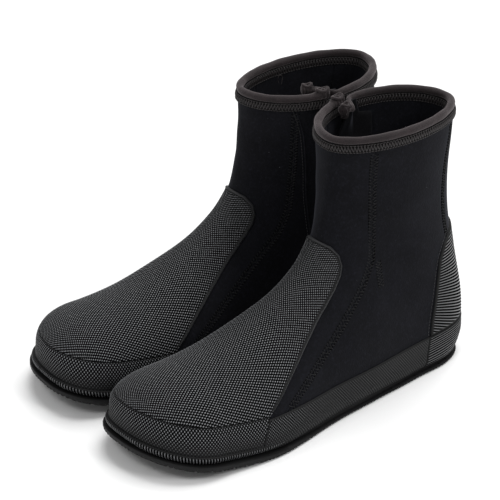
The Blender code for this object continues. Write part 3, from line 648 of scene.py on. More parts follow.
def knit(name, dark, light, sheen):
    """The binding's ribbed knit."""
    n = Nodes(name)
    cells = n.voronoi(1500, stretch=(1.0, 1.0, 0.6))
    tone = n.mix(n.ramp(cells, 0.1, 0.8, 1.0, 0.0), dark, light)
    n.colour(n.mix(n.ramp(n.noise(90, 4), 0.35, 0.7, top=0.6), tone, scaled(dark, 0.6)))
    n.roughness(n.noise(200, 3), 0.7, 0.9)
    n.bump(n.noise(140, 4), 0.5, 0.5)
    n.bump(cells, 0.8, 0.25)
    n.set(Sheen_Weight=sheen, Sheen_Roughness=0.45, Sheen_Tint=(1.0, 0.9, 0.92, 1),
          Specular_IOR_Level=0.1 + 0.7 * sheen)
    return n.material


def thread(name, dark, light, rough=0.55, shine=0.5):
    """Twisted polyester thread."""
    n = Nodes(name)
    n.colour(n.mix(n.ramp(n.noise(1400, 2), 0.35, 0.65), dark, light))
    n.bump(n.noise(2600, 2), 0.6, 0.08)
    n.roughness(n.noise(600, 2), rough - 0.1, rough + 0.1)
    n.set(Specular_IOR_Level=shine, Sheen_Weight=0.2 * shine)
    return n.material


def woven(name, dark, light):
    """The zip tape's ribbed weave."""
    n = Nodes(name)
    inputs = {"Scale": 520, "Distortion": 0.4, "Detail Scale": 3.0, "Vector": n.coords}
    ribs = n.add("ShaderNodeTexWave", inputs, wave_type="BANDS", bands_direction="Z").outputs["Fac"]
    n.colour(n.mix(ribs, dark, light))
    n.roughness(n.noise(200, 2), 0.7, 0.88)
    n.bump(ribs, 0.6, 0.12)
    n.bump(n.noise(900, 3), 0.4, 0.1)
    n.set(Sheen_Weight=0.15, Specular_IOR_Level=0.3)
    return n.material


def plastic(name, dark, light, rough):
    """The zip's moulded plastic."""
    n = Nodes(name)
    n.colour(n.mix(n.ramp(n.noise(120, 4), 0.4, 0.7), dark, light))
    n.roughness(n.noise(300, 4, 0.6), rough - 0.08, rough + 0.12)
    n.bump(n.noise(700, 4), 0.2, 0.06)
    n.set(Specular_IOR_Level=0.55)
    return n.material


JERSEY = jersey("neoprene_jersey", (0.0026, 0.0027, 0.0040), (0.0062, 0.0064, 0.0092))
LINING = jersey("neoprene_flap_jersey", (0.0022, 0.0022, 0.0027), (0.0048, 0.0048, 0.0058), specks=False)
FOAM = jersey("insole_jersey", (0.006, 0.006, 0.0075), (0.014, 0.014, 0.016), specks=False)
KNURLED = rubber("knurled_rubber", (0.0085, 0.0088, 0.0095), (0.017, 0.0175, 0.0185), 0.42, kind="dots")
RIBBED = rubber("ribbed_rubber", (0.0110, 0.0113, 0.0120), (0.0058, 0.0060, 0.0064), 0.42, kind="ribs")
FOXING = rubber("foxing_rubber", (0.0150, 0.0153, 0.0160), (0.0100, 0.0102, 0.0108), 0.42, kind="ribs")
SOLE = rubber("sole_rubber", (0.0046, 0.0046, 0.0049), (0.0100, 0.0100, 0.0105), 0.66, grain=0.4, shine=0.2)
BOARD = rubber("fibre_board", (0.045, 0.040, 0.032), (0.085, 0.078, 0.066), 0.85)
KNIT = knit("binding_knit", (0.0070, 0.0047, 0.0051), (0.028, 0.0188, 0.0204), sheen=0.25)
# A darker copy of the binding knit for the tape's legs: painted shade below the roll.
STRIP_SHADE = knit("binding_strip_knit_painted_shade", (0.0014, 0.0011, 0.0012), (0.0044, 0.0033, 0.0036), sheen=0.06)
# A darker copy of the binding knit for the folded ends: painted shade in their folds.
FOLD_SHADE = knit("binding_fold_knit_painted_shade", (0.0036, 0.0027, 0.0029), (0.0170, 0.0118, 0.0127), sheen=0.14)
THREAD = thread("black_thread", (0.0030, 0.0030, 0.0038), (0.0150, 0.0150, 0.0170))
BINDING_THREAD = thread("binding_thread", (0.0038, 0.0028, 0.0030), (0.0190, 0.0132, 0.0142))
SEAM_THREAD = thread("seam_thread", (0.0020, 0.0020, 0.0023), (0.0105, 0.0107, 0.0115), 0.65, shine=0.22)
# Near black for the needle holes and the binding's eye: painted shade in the holes and in the eye's hollow.
HOLE_SHADE = thread("needle_hole_painted_shade", (0.0003, 0.0003, 0.0004), (0.0008, 0.0008, 0.0009), 0.95, shine=0.04)
TAPE = woven("zip_tape_weave", (0.0022, 0.0022, 0.0024), (0.0065, 0.0065, 0.0070))
ZIP = plastic("zip_plastic", (0.0035, 0.0035, 0.0038), (0.0090, 0.0090, 0.0098), 0.40)


# ---------------------------------------------------------------- rays onto the surface, and the band round the foot

def dense_surface():
    T, _ = even_rows(0.0, 2.0, 1.2)
    angle, _ = even_angles(T, np.linspace(-1, 1, 281))
    points = surface(T, angle)
    quads = grid_quads(*points.shape[:2]).tolist()
    return BVHTree.FromPolygons([Vector(p) for p in points.reshape(-1, 3).tolist()], quads)


TARGET = dense_surface()


def cast(origins, direction):
    """Points and outward normals where parallel rays meet the level surface, without the misses."""
    found = [TARGET.ray_cast(Vector(origin), Vector(direction)) for origin in origins.tolist()]
    points, normals = [np.array([tuple(hit[k]) for hit in found if hit[0] is not None]) for k in (0, 1)]
    return points, normals * -np.sign(normals @ np.array(direction, float))[:, None]


def cast_rings(origin, way, levels):
    """A grid of the points that level rays meet at several heights. A ray that misses takes the nearest found
    point of its column."""
    points = np.full((len(levels), len(origin), 3), np.nan)
    for i, z in enumerate(levels.tolist()):
        for j, (start, aim) in enumerate(zip(origin.tolist(), way.tolist())):
            hit = TARGET.ray_cast(Vector((*start, z)), Vector((*aim, 0.0)))[0]
            if hit is not None:
                points[i, j] = hit
    rows = np.arange(len(levels))
    for column in points.transpose(1, 0, 2):
        good = ~np.isnan(column[:, 0])
        if good.any() and not good.all():
            column[:] = interpolate(rows, rows[good], column[good])
    return points


def perimeter():
    """Ray origins and directions round the sole: from the toe round the lateral side to the heel and back."""
    def spread(start, end, length):
        return np.linspace(start, end, int(length / BAND_STEP), endpoint=False)

    quarter = math.pi / 2
    toe, back = spread(0, quarter, quarter * 50), spread(0, quarter, quarter * 38)
    line = spread(TOE_CENTRE_F, HEEL_CENTRE_F, TOE_CENTRE_F - HEEL_CENTRE_F)
    f = np.concatenate([np.full(len(toe), TOE_CENTRE_F), line, np.full(len(back) + 1, HEEL_CENTRE_F)])
    heading = np.concatenate([toe, np.full(len(line), quarter), quarter + back, [math.pi]])
    origin = np.column_stack([np.full(len(f), 0.01), f])
    way = np.column_stack([np.sin(heading), np.cos(heading)])
    return np.vstack([origin, origin[-2:0:-1]]), np.vstack([way, way[-2:0:-1] * (-1, 1)])


ORIGIN, WAY = perimeter()
LEVELS = np.arange(3.0, 34.01, 0.5)
BAND_POINTS = cast_rings(ORIGIN, WAY, LEVELS)
BAND_NORMALS = grid_normals(BAND_POINTS, wrap=True)
BAND_F = BAND_POINTS[8, :, 1]
_middle = BAND_POINTS[len(LEVELS) // 2]
_run = running_length(np.vstack([_middle, _middle[:1]]))
GIRTH, GIRTH_LENGTH = _run[:-1], _run[-1]


def band_at(z, offset):
    """Level points round the foot at heights z and outward offsets, both arrays of one value per column."""
    x = np.clip((z - LEVELS[0]) / (LEVELS[1] - LEVELS[0]), 0, len(LEVELS) - 1.001)
    i, columns = x.astype(int), np.arange(len(ORIGIN))
    t = (x - i)[:, None]
    p, n = [grid[i, columns] * (1 - t) + grid[i + 1, columns] * t for grid in (BAND_POINTS, BAND_NORMALS)]
    p = p + n * offset[:, None]
    p[:, 2] = z
    return p


def plan_outline(level_z, offset, stride=1):
    """The plan outline at one height, with a horizontal offset."""
    x = (level_z - LEVELS[0]) / (LEVELS[1] - LEVELS[0])
    i = int(x)
    points = (BAND_POINTS[i] * (1 - x + i) + BAND_POINTS[i + 1] * (x - i))[::stride, :2]
    along = np.roll(points, -1, 0) - np.roll(points, 1, 0)
    normal = unit(np.stack([along[:, 1], -along[:, 0]], 1))
    return points + normal * offset * np.sign((normal * (points - points.mean(0))).sum())


# ---------------------------------------------------------------- the zip's frame

ZIP_UP = unit(ZIP_TOP - ZIP_BOTTOM)
ZIP_LENGTH = float(np.linalg.norm(ZIP_TOP - ZIP_BOTTOM))


def zip_axes():
    """Across and outward directions of the zip, from the left pull's hinge."""
    ax, ay, az = next(j for j in frame["joints"] if j["name"] == "left_pull_hinge")["axis"]
    turn = math.radians(BOOTS["left"][2])
    across = np.array((ax * math.cos(turn) + ay * math.sin(turn), ax * math.sin(turn) - ay * math.cos(turn), az))
    across = unit(across) * np.sign(across[1])
    out = np.cross(ZIP_UP, across)
    return across, out * -np.sign(out[0])


ZIP_ACROSS, ZIP_OUT = zip_axes()
ZIP_ORIGIN = ZIP_TOP - ZIP_OUT * ZIP_DEPTH


def zip_coordinates(points):
    """Distances across the zip and down it."""
    d = points - ZIP_ORIGIN
    return d @ ZIP_ACROSS, -(d @ ZIP_UP)


def zip_point(u, v, w):
    """Boot-frame points from the zip's frame: u towards the toes, v down from the top, w outwards."""
    u, v, w = [k[..., None] for k in np.broadcast_arrays(*[np.asarray(k, float) for k in (u, v, w)])]
    return ZIP_ORIGIN + u * ZIP_ACROSS - v * ZIP_UP + w * ZIP_OUT


# ---------------------------------------------------------------- neoprene

def waviness(p):
    """Slow unevenness of soft neoprene, in millimetres, fading out under the rubber and the binding."""
    x, f, z = p[..., 0], p[..., 1], p[..., 2]
    w = (np.sin(f * 0.055 + z * 0.041 + 0.8) * np.sin(x * 0.06 - z * 0.037 + 1.9)
         + 0.6 * np.sin(f * 0.11 - z * 0.083 + 2.3) * np.cos(x * 0.09 + z * 0.061))
    creases = bump_at(z - 0.32 * (f - 60), 108, 5.0) * smooth(f, 20, 60) * (1 - smooth(f, 88, 104))
    creases += 0.7 * bump_at(z - 0.30 * (f - 60), 122, 6.0) * smooth(f, 30, 70) * (1 - smooth(f, 90, 106))
    body = smooth(z, 60, 95) * (1 - smooth(z, 184, 196)) * smooth(f, -10, 22) * (1 - smooth(f, 104, 114) * 0.6)
    return (0.55 * w - 0.9 * creases) * body


def panels():
    """The four neoprene panels, with dished seams and a rim pinched by the binding."""
    sheet = upper_sheet(0.0, 2.0, PANEL_STEP, np.linspace(-1, 1, 231))
    inner = lifted(surface(sheet.T, sheet.angle, -NEOPRENE))
    x, f, z = sheet.x, sheet.f, sheet.z
    ahead = region_distance(FRONT_SEAM + ((320, 6.3), (320, 230)), f, z)
    behind = region_distance(FRONT_SEAM + ((-60, 6.3), (-60, 230)), f, z)
    achilles = np.minimum(ACHILLES_HALF - np.abs(x), ACHILLES_FRONT - f)
    floor = z - UPPER_BOTTOM
    across, down = zip_coordinates(sheet.level)
    slot = np.where(x < -8, np.maximum(np.abs(across) - ZIP_SLOT_HALF, down - ZIP_LENGTH - 2), 50.0)
    regions = {
        "front_panel": (ahead, floor),
        "lateral_quarter": (behind, -achilles, x, floor),
        "medial_quarter": (behind, -achilles, -x, floor, slot),
        "achilles_panel": (achilles, floor),
    }
    for name, limits in regions.items():
        phi = np.minimum.reduce(limits) - 0.12
        patch = Patch(phi)
        dip = -0.75 * (1 - np.clip(patch.take(phi) / 1.8, 0, 1))**2
        soft = waviness(patch.take(sheet.level))
        pinch = 1.1 * smooth(patch.take(sheet.run - sheet.run.max()), -7.5, -0.5)
        normals = patch.take(sheet.normals)
        top = patch.take(sheet.outer) + normals * (soft + dip - pinch)[:, None]
        bottom = patch.take(inner) + normals * (soft - dip * 0.5 + pinch)[:, None]
        mesh = skin_mesh(name, patch, top, bottom, patch.take(sheet.uv))
        outward(mesh, weld=0.02 if name == "front_panel" else 0.0)
        place(name, mesh, JERSEY, "neoprene", cad=True, sharp=60)


def gusset():
    """The thin water flap behind the zip, which leans inwards at the top to meet its bound edge."""
    sheet = upper_sheet(1.45, 2.0, 1.6, np.linspace(-0.85, -0.10, 150))
    level, run = sheet.level, sheet.run
    normals = grid_normals(level)
    normals *= -np.sign(normals[..., 0].mean())
    lean = smooth(run, run.max() - 34.0, run.max() - 4.0)
    inwards = ROLL_DEPTH + (FLAP_DEPTH - ROLL_DEPTH) * smooth(sheet.f, 51.0, 70.0)
    depth = 6.9 * (1 - lean) + np.maximum(6.9, inwards - 0.7) * lean
    outline = ((40, 74), (46, 68), (72, 68), (79, 75), (79, 240), (64, 240), (52, 191), (40, 189))
    phi = np.minimum(region_distance(outline, sheet.f, sheet.z), -sheet.x - 5)
    patch = Patch(phi)
    thick = 0.6 * (1 - (1 - np.clip(patch.take(phi) / 2.0, 0, 1))**2)
    base, out = patch.take(level - normals * depth[..., None]), patch.take(normals)
    mesh = skin_mesh("zip_gusset", patch, base + out * (thick - 0.6)[:, None], base + out * (-0.9 - thick)[:, None],
                     patch.take(sheet.uv))
    place("zip_gusset", outward(mesh), LINING, "neoprene", cad=True, sharp=60)


# ---------------------------------------------------------------- rubber

TOE_SEAM, HEEL_SEAM = (211.0, 204.0), (42.0, 39.0)


def rand_seam(seam, z):
    """f of a seam between the rands at height z, from its f at the foot of the upper and at the rands' top."""
    foot, top = seam
    return foot + (z - UPPER_BOTTOM) * (top - foot) / (RAND_TOP - UPPER_BOTTOM)


def foxing_span(f):
    """Heights of the ribbed band's lower and upper edges: the smooth strip under it is thickest at the toe."""
    toe = smooth(f, 150, 225)
    return 1.6 + 2.7 * toe, 9.2 + 2.0 * toe


def foxing_reach(f):
    """How far the band stands out from the upper: less along the waist and round the heel."""
    waist = smooth(f, 60, 95) * (1 - smooth(f, 150, 195))
    heel = 1 - smooth(f, -6, 30)
    return FOXING_OUTER - 0.5 - 1.0 * waist - 2.2 * heel + 1.5 * smooth(f, 125, 200)


def rubber_skin(name, sheet, patch, rise, pattern, material):
    """Places a rubber piece that stands rise millimetres out from the upper."""
    out = patch.take(sheet.normals)
    top = patch.take(sheet.outer) + out * rise[:, None]
    mesh = open_skin(name, patch, top, out, rise - SKIN_LOW + 0.05, patch.take(sheet.uv), np.stack(pattern, 1))
    place(name, mesh, material, "textured_rubber", cad=True, sharp=0)


def overlay():
    """The instep guard: knurled in staggered rows, with a bead round its upper edge that carries a painted highlight.
    """
    sheet = upper_sheet(0.10, 1.62, OVERLAY_STEP, np.linspace(-0.80, 0.80, 331))
    phi = region_distance(OVERLAY_EDGE + ((320, 127), (320, 31.8)), sheet.f, sheet.z)
    patch = Patch(phi)
    edge, upper = patch.take(phi), smooth(patch.take(sheet.z), 33.5, 37)
    a, b = patch.take(sheet.arc) / KNURL_A, patch.take(sheet.run) / KNURL_B
    fade = smooth(edge, 1.7, 2.6) * upper + (1 - upper) * smooth(edge, 0.0, 0.5)
    body = SKIN_RISE + 0.85 * bump_at(edge, 0.95, 0.55) * upper + 0.5 * knurl(a, b) * fade
    turn_down = 0.45 - 0.2 * upper + (0.55 + 0.2 * upper) * rounded(edge, 0.15 + 0.85 * upper)
    # The bead takes no dots and a fixed relief share of 0.22, which the rubber material turns into a lighter line: a
    # painted highlight.
    bead_highlight = (edge < 1.2) & (upper > 0.5)
    pattern = (np.where(bead_highlight, 0.0, a), np.where(bead_highlight, 0.0, b), np.where(bead_highlight, 0.22, fade))
    rubber_skin("vamp_overlay", sheet, patch, SKIN_LOW + body * turn_down, pattern, KNURLED)


def bands():
    """Toe bumper, side rands and heel rand, on the grid round the foot."""
    for name in ("toe_bumper", "lateral_rand", "medial_rand", "heel_rand"):
        toe, heel = name == "toe_bumper", name == "heel_rand"
        pick = np.roll(np.arange(len(ORIGIN)), len(ORIGIN) // 2 if toe else 0)
        sheet = Sheet(BAND_POINTS[LEVELS >= 5.5][:, pick])
        x, f, z = sheet.x, sheet.f, sheet.z
        girth = np.broadcast_to(GIRTH[pick], x.shape).copy()
        toe_side, heel_side = f - rand_seam(TOE_SEAM, z), rand_seam(HEEL_SEAM, z) - f
        if toe:
            girth[girth > GIRTH_LENGTH / 2] -= GIRTH_LENGTH
            limits = (toe_side - 0.1, BUMPER_TOP + 0.15 - z)
        elif heel:
            limits = (heel_side - 0.1, RAND_TOP - z)
        else:
            limits = (-toe_side - 0.1, -heel_side - 0.1, RAND_TOP - z, x if name == "lateral_rand" else -x)
        phi = np.minimum.reduce((*limits, z - UPPER_BOTTOM))
        patch = Patch(phi)
        edge, height, forward = patch.take(phi), patch.take(z), patch.take(f)
        if toe:
            pitch, lip, fade = (2.3, 3.0), 0.0, (0.14 + 0.86 * smooth(height, 10.0, 24)) * smooth(edge, 0.0, 0.6)
        elif heel:
            pitch, lip, fade = (1.0, 1.9), 0.2, smooth(edge, 0.8, 1.5)
        else:
            near_toe = smooth(forward, 150, 200) * smooth(height, 12, 22)
            pitch, lip, fade = (2.2, 2.6), 0.25, (0.30 + 0.5 * near_toe) * smooth(edge, 0.8, 1.6)
        a, b = patch.take(girth) / pitch[0], height / pitch[1]
        relief = 0.45 * (ridge(b) if heel else knurl(a, b)) * fade + lip * bump_at(height, RAND_TOP - 1.0, 0.6)
        share = 0.95 - 0.50 * smooth(forward, 175, 230)
        flare = share * (foxing_reach(forward) - 1.75) * (1 - smooth(height, 8.0, 23.0)) ** 1.6
        rise = SKIN_LOW + flare + (SKIN_RISE + relief) * (0.3 + 0.7 * rounded(edge, 0.2 if toe else 0.7))
        rubber_skin(name, sheet, patch, rise, (a, b, fade), RIBBED if heel else KNURLED)


def counter():
    """The heel guard, whose fine ribs are level at its top and dip towards the back lower down."""
    turns = np.radians(np.linspace(-104, 104, 340))
    origin = np.full((len(turns), 2), (0.01, 46.0))
    sheet = Sheet(cast_rings(origin, np.column_stack([np.sin(turns), -np.cos(turns)]), np.arange(29.5, 129.6, 0.55)))
    phi = region_distance(COUNTER_OUTLINE, sheet.f, sheet.z)
    steps = [np.linalg.norm(np.gradient(sheet.level, axis=k), axis=2) for k in (0, 1)]
    steepness = np.hypot(*[np.gradient(phi, axis=k) / steps[k] for k in (0, 1)])
    phi = phi / np.clip(steepness, 0.3, 1.0)
    patch = Patch(phi)
    edge, height, forward = patch.take(phi), patch.take(sheet.z), patch.take(sheet.f)
    fan = (height - (forward - 10) * 0.45 * (1 - smooth(height, 35, 110))) / RIB_PITCH
    fade = smooth(edge, 1.2, 2.4)
    body = 1.0 + 0.45 * ridge(fan, 0.8) * fade + 0.3 * bump_at(edge, 1.0, 0.6)
    rise = SKIN_LOW + body * (0.2 + 0.8 * rounded(edge, 1.0))
    rubber_skin("heel_counter", sheet, patch, rise, (fan * 0, fan, fade), RIBBED)


def foxing():
    """The band round the sole: a fine lip over upright ribs."""
    low, top = foxing_span(BAND_F)
    reach = foxing_reach(BAND_F)
    turns = GIRTH / 2.0
    ribs = 1.25 * ridge(turns, 0.8) - 0.55
    # Share of the height, share of the reach, and how much of the ribs' relief there is, which also sets their painted
    # shade and highlights.
    profile = ((0.0, 0.10, 0), (0.0, 0.70, 0), (0.0, 0.94, 0.2), (0.05, 1.0, 0.8), (0.16, 1.02, 1), (0.28, 1.0, 1),
               (0.42, 0.96, 1), (0.56, 0.91, 1), (0.68, 0.86, 1), (0.78, 0.80, 0.9), (0.84, 0.74, 0.5),
               (0.88, 0.70, 0), (0.93, 0.72, 0), (0.98, 0.66, 0), (1.0, 0.50, 0), (1.0, 0.30, 0), (0.97, 0.10, 0))
    rows = [band_at(low + (top - low) * up, 0.4 + (reach - 0.4) * out + ribbed * ribs) for up, out, ribbed in profile]
    mesh = ring_mesh("foxing_strip", rows, wrap_rows=True)
    turns, shares = np.tile(turns, len(profile)), np.repeat([ribbed for _, _, ribbed in profile], len(turns))
    add_pattern(mesh, np.stack([turns * 0, turns, shares], 1))
    place("foxing_strip", mesh, FOXING, "sole_rubber", cad=True, sharp=60)


def tread(x, f):
    """Depth of the tread's grooves at a point of the underside: bars, a middle groove and two rings."""
    wave = np.abs(((f + 0.35 * np.abs(x)) / 9.0) % 1.0 - 0.5) * 2
    middle = 1 - smooth(np.abs(x - 2 * np.sin(f / 40)), 1.2, 2.2)
    from_ball = np.hypot(x, f - 205)
    rings = (np.abs(from_ball - 26) < 1.2) | (np.abs(from_ball - 14) < 1.0)
    grooves = np.where(rings, 1.0, np.maximum(smooth(wave, 0.66, 0.80), middle))
    shank = smooth(f, 88, 94) * (1 - smooth(f, 132, 138))
    return 2.0 * grooves * (1 - shank) + shank * (1.2 + 0.35 * ridge(f / 3.0))


def outsole():
    """The sole slab: grooved underside, and an upright edge with small lugs round its foot."""
    stride = 2
    origin, f = ORIGIN[::stride], BAND_F[::stride]
    top = foxing_span(f)[0] - 0.03
    reach = foxing_reach(f) + 0.1 + 1.3 * smooth(f, 130, 205) - 0.8 * (1 - smooth(f, -6, 30))
    base = plan_outline(9.0, 0.0, stride)
    out = plan_outline(9.0, 1.0, stride) - base
    lug = ridge(GIRTH[::stride] / 3.4, 0.6)

    def ring(plan, height):
        return np.column_stack([plan, np.broadcast_to(height, len(f))])

    edge = base + out * (reach - 1.2)[:, None]
    rows = []
    for share in np.concatenate([np.linspace(1, 0.10, 46), np.linspace(0.085, 0.0, 9)]):
        plan = edge * (1 - share) + origin * share
        rows.append(ring(plan, tread(plan[:, 0], plan[:, 1])))
    for offset, share, lugged in ((-0.75, 0.04, 1), (-0.35, 0.12, 1), (-0.12, 0.30, 1), (0.0, 0.45, 0.6),
                                  (0.0, 0.62, 0), (0.0, 0.80, 0), (-0.05, 0.95, 0), (-0.2, 1.0, 0)):
        plan = base + out * (reach + offset + lugged * (0.7 * lug - 0.55))[:, None]
        rise = lugged * 0.9 * (1 - lug) * (1 - share) * (share < 0.4)
        rows.append(ring(plan, np.maximum(top * share + rise, 0.05)))
    inside = base + out * 0.3
    rows.append(ring(inside, top))
    rows += [ring(inside * (1 - share) + origin * share, OUTSOLE_TOP) for share in (0.0, 0.15, 0.5, 1.0)]
    place("outsole", ring_mesh("outsole", rows, weld=0.01), SOLE, "sole_rubber", cad=True, sharp=45)


def slab(name, material, slot, offset, low, high, cup):
    """A slab inside the upper: the board or the footbed. cup lifts its edge."""
    stride = 4
    edge, origin = plan_outline(14.0, offset, stride), ORIGIN[::stride]
    rows = []
    for share in (1.0, 0.6, 0.3, 0.1, 0.02, 0.0):
        plan = edge * (1 - share) + origin * share
        rows.append(np.column_stack([plan, np.full(len(plan), low)]))
    for share in (0.0, 0.02, 0.06, 0.12, 0.2, 0.3, 0.45, 0.6, 0.8, 1.0):
        plan = edge * (1 - share) + origin * share
        rise = cup * max(0.0, 1 - share / 0.3)**2 - (0.6 if share == 0.0 else 0.0)
        wave = 0.25 * np.sin(plan[:, 1] * 0.09 + plan[:, 0] * 0.05) * bool(cup)
        rows.append(np.column_stack([plan, high + rise + wave]))
    place(name, ring_mesh(name, rows, weld=0.01), material, slot, cad=True)


# ---------------------------------------------------------------- cuff binding

def cuff_line(angle):
    """Points of the cuff's edge at the given angles."""
    return surface(np.array([2.0]), angle[None, :])[0]


def rim(count):
    """Evenly spaced points of the cuff's edge from the zip's front round to its rear, their normals, and its length."""
    wide = np.linspace(0, 2 * math.pi, 1441)
    points = cuff_line(wide)
    across = zip_coordinates(points)[0]
    near = (points[:, 0] < -20) & (np.abs(across) < 40)

    def lip(side):
        found = near & (side * across > 0)
        return wide[found][np.argmin(np.abs(side * across[found] - RIM_HALF_GAP))]

    front, rear = lip(1), lip(-1)
    away = front + np.linspace(0, (rear - front) % (2 * math.pi), 1500)
    run = running_length(cuff_line(away))
    angle = np.interp(np.linspace(0, run[-1], count), run, away)
    here = cuff_line(angle)
    return here, sideways(cuff_line(angle + 1e-3) - cuff_line(angle - 1e-3), here, here.mean(0)), run[-1]


def binding_path(count):
    """The roll's middle line: from the zip's front edge round the cuff, then inwards over the flap's top."""
    here, _, length = rim(count)
    line = cuff_line(np.linspace(0, 2 * math.pi, 2881))
    start = np.argmin(np.linalg.norm(line - here[-1], axis=1))
    way = 1 if line[(start + 5) % 2880][1] > here[-1][1] else -1
    beyond = np.array([here[-1]] + [line[(start + way * k) % 2880] for k in range(1, 900)])
    step = length / (count - 1)
    line = np.vstack([here, interpolate(np.arange(step, FLAP_REACH, step), running_length(beyond), beyond)])
    out = sideways(np.gradient(line, axis=0), line, here.mean(0))
    run = np.arange(len(line)) * step
    inwards = ROLL_DEPTH + (FLAP_DEPTH - ROLL_DEPTH) * smooth(run, length - 2.0, length + 11.0)
    return line - out * inwards[:, None], out, run, length


def binding():
    """A slim roll of knit tape over the pinched rim, with a folded end ahead of the zip and one on the flap."""
    line, out, run, length = binding_path(520)
    end = run[-1]
    ahead, behind = 1 - smooth(run, 3.0, 13.0), smooth(run, end - 10.0, end - 2.0)
    climb = 1.6 * (1 - smooth(run, 2.0, 15.0)) + 1.4 * smooth(run, end - 13.0, end - 3.0)
    climb -= smooth(run, length - 10, length) * (1 - smooth(run, end - 16.0, end - 6.0))
    lumps = 0.10 * np.sin(run / 4.3) + 0.08 * np.sin(run / 2.7 + 1.0) + 0.10 * np.sin(run / 17.0)
    folds = 0.40 * np.sin(run * 2.1 + 0.6) * np.maximum(ahead, behind)
    rows = []
    for k, (wide, up) in enumerate(ROLL):
        wide += ROLL_DEPTH
        uneven = (lumps + folds * (1 + 0.5 * math.sin(k * 1.9))) / math.hypot(wide, up)
        reach = 1 + 0.36 * ahead + 0.30 * behind + uneven
        rows.append(line + out * (wide * reach)[:, None] + UP * (up * reach + climb)[:, None])
    place_parts("cuff_binding", [rounded_tube(np.stack(rows, 1))], KNIT, "binding_knit", cad=True, sharp=60)


# The cuff's two faces: name, 1 or -1 for the way they face, and their place from the neoprene's outer face.
CUFF_FACES = (("outer", 1, 0.0), ("inner", -1, -NEOPRENE))


def binding_legs():
    """The tape's flat legs down the outside and the inside, with a turned lower edge, in a darker knit that paints the
    shade below the roll.
    """
    here, normal, length = rim(420)
    pucker = 0.12 * np.cos(2 * math.pi * np.linspace(0, length, len(here)) / 4.6)
    for name, side, face in CUFF_FACES:
        rows = []
        for thick, up in ((0.30, -1.6), (0.55, -3.0), (0.60, -4.6), (0.60, -6.4), (0.80, -7.7), (0.85, -8.1),
                          (0.50, -8.5), (0.05, -8.4), (-0.4, -8.0), (-0.4, -5.0), (-0.5, -1.8)):
            shift = face + side * (thick - 1.1 * smooth(up, -7.5, -0.5) + pucker * (thick > 0.5))
            rows.append(here + normal * shift[:, None] + UP * up)
        place_parts(f"binding_leg_{name}", [tube(np.stack(rows, 1))], STRIP_SHADE, "binding_knit")


def binding_ends():
    """Tape folded down from each end of the roll, in a darker knit that paints the shade of its folds, and the open eye
    of the roll at its top with a black sheet of painted shade inside it.
    """
    line, out, run, _ = binding_path(600)
    last, sides = len(line) - 1, 22
    turns = np.linspace(0, 2 * math.pi, 28, endpoint=False)
    for name, first, way, lift, drop, wide, deep in (("front", 0, 1, 0.9, 1.0, 4.4, 3.0),
                                                     ("flap", last, -1, 0.7, 0.55, 3.2, 2.3)):
        def at(mm, rise, first=first, way=way):
            k = int(np.clip(first + way * mm / run[1], 0, last))
            return line[k] - out[k] * 0.1 + UP * rise

        knots = [at(10, 0.6), at(7.5, 1.2 + lift), at(5, 1.3 + lift), at(3.2, 0.2 + lift)]
        knots += [at(mm, -down * drop) for mm, down in ((2.6, 2.5), (2.6, 5.0), (2.8, 7.5), (3.0, 9.5))]
        path = interpolate(np.linspace(0, len(knots) - 1, 70), np.arange(len(knots)), np.array(knots))
        for _ in range(14):
            path[1:-1] = (path[:-2] + path[1:-1] * 2 + path[2:]) / 4
        radius = 1.9 + 1.2 * np.sin(math.pi * np.clip(np.linspace(0, 1.05, len(path)), 0, 1)) ** 0.7
        vertices, faces = sweep(path, radius, sides)
        ring, turn = np.divmod(np.arange(len(vertices)), sides)
        turn = turn * 2 * math.pi / sides
        crease = 0.34 * np.sin(ring * 0.55 + 1.3 * np.sin(turn)) + 0.22 * np.sin(ring * 1.1 - 2.0 * turn)
        vertices = vertices + unit(vertices - path[ring]) * crease[:, None]
        # The folded ends take the darker knit, painted shade for their folds.
        place_parts(f"binding_end_{name}", [(vertices, faces)], FOLD_SHADE, "binding_knit", sharp=60)
        k = int(np.clip(first + way * 4.5 / run[1], 1, last - 1))
        along, centre = unit(line[k + 1] - line[k - 1]), at(4.2, 3.9 + lift)
        loop = centre + np.outer(np.cos(turns) * wide, along) + np.outer(np.sin(turns) * deep, out[k])
        loop[:, 2] += 0.6 * np.cos(2 * turns)
        place_parts(f"binding_eye_{name}", [sweep(loop, 1.05, 10, closed=True)], KNIT, "binding_knit", sharp=0)
        # A black sheet a little way down inside the eye: painted shade in the open end of the roll.
        inner = centre + (loop - centre) * 0.9
        eye_shade = tube(np.stack([inner - UP * 0.9, inner - UP * 0.315]))
        place_parts(f"binding_hollow_{name}", [eye_shade], HOLE_SHADE, "binding_knit", sharp=0)


def loose_loop():
    """A small hanger loop of thread under the binding, inside the cuff's lateral side."""
    here, normal, _ = rim(400)
    k = int(np.argmin(np.abs(here[:, 1] - 62) + 200 * (here[:, 0] < 0)))
    turns = np.linspace(0, 2 * math.pi, 26, endpoint=False)
    wide, tall = np.sin(turns) * (1.9 + 0.5 * np.cos(turns)), np.cos(turns) * 4.2
    loop = here[k] - normal[k] * (NEOPRENE + 0.9) - UP * 12.5 + np.outer(wide, (0, 1, 0)) + np.outer(tall, UP)
    place_parts("hanger_loop", [sweep(loop, 0.34, closed=True)], BINDING_THREAD, "binding_knit", sharp=0)


# ---------------------------------------------------------------- stitches

def stitch(centre, way, normal, length, radius):
    """One stitch: a short thread that dips into the cloth at both ends."""
    s = np.linspace(-0.5, 0.5, 6)
    path = centre + np.outer(s * length, way) + np.outer(((0.25 - s**2) * 5.2 - 0.7) * radius, normal)
    return sweep(path, radius * np.array((0.7, 0.95, 1.0, 1.0, 0.95, 0.7)), 6)


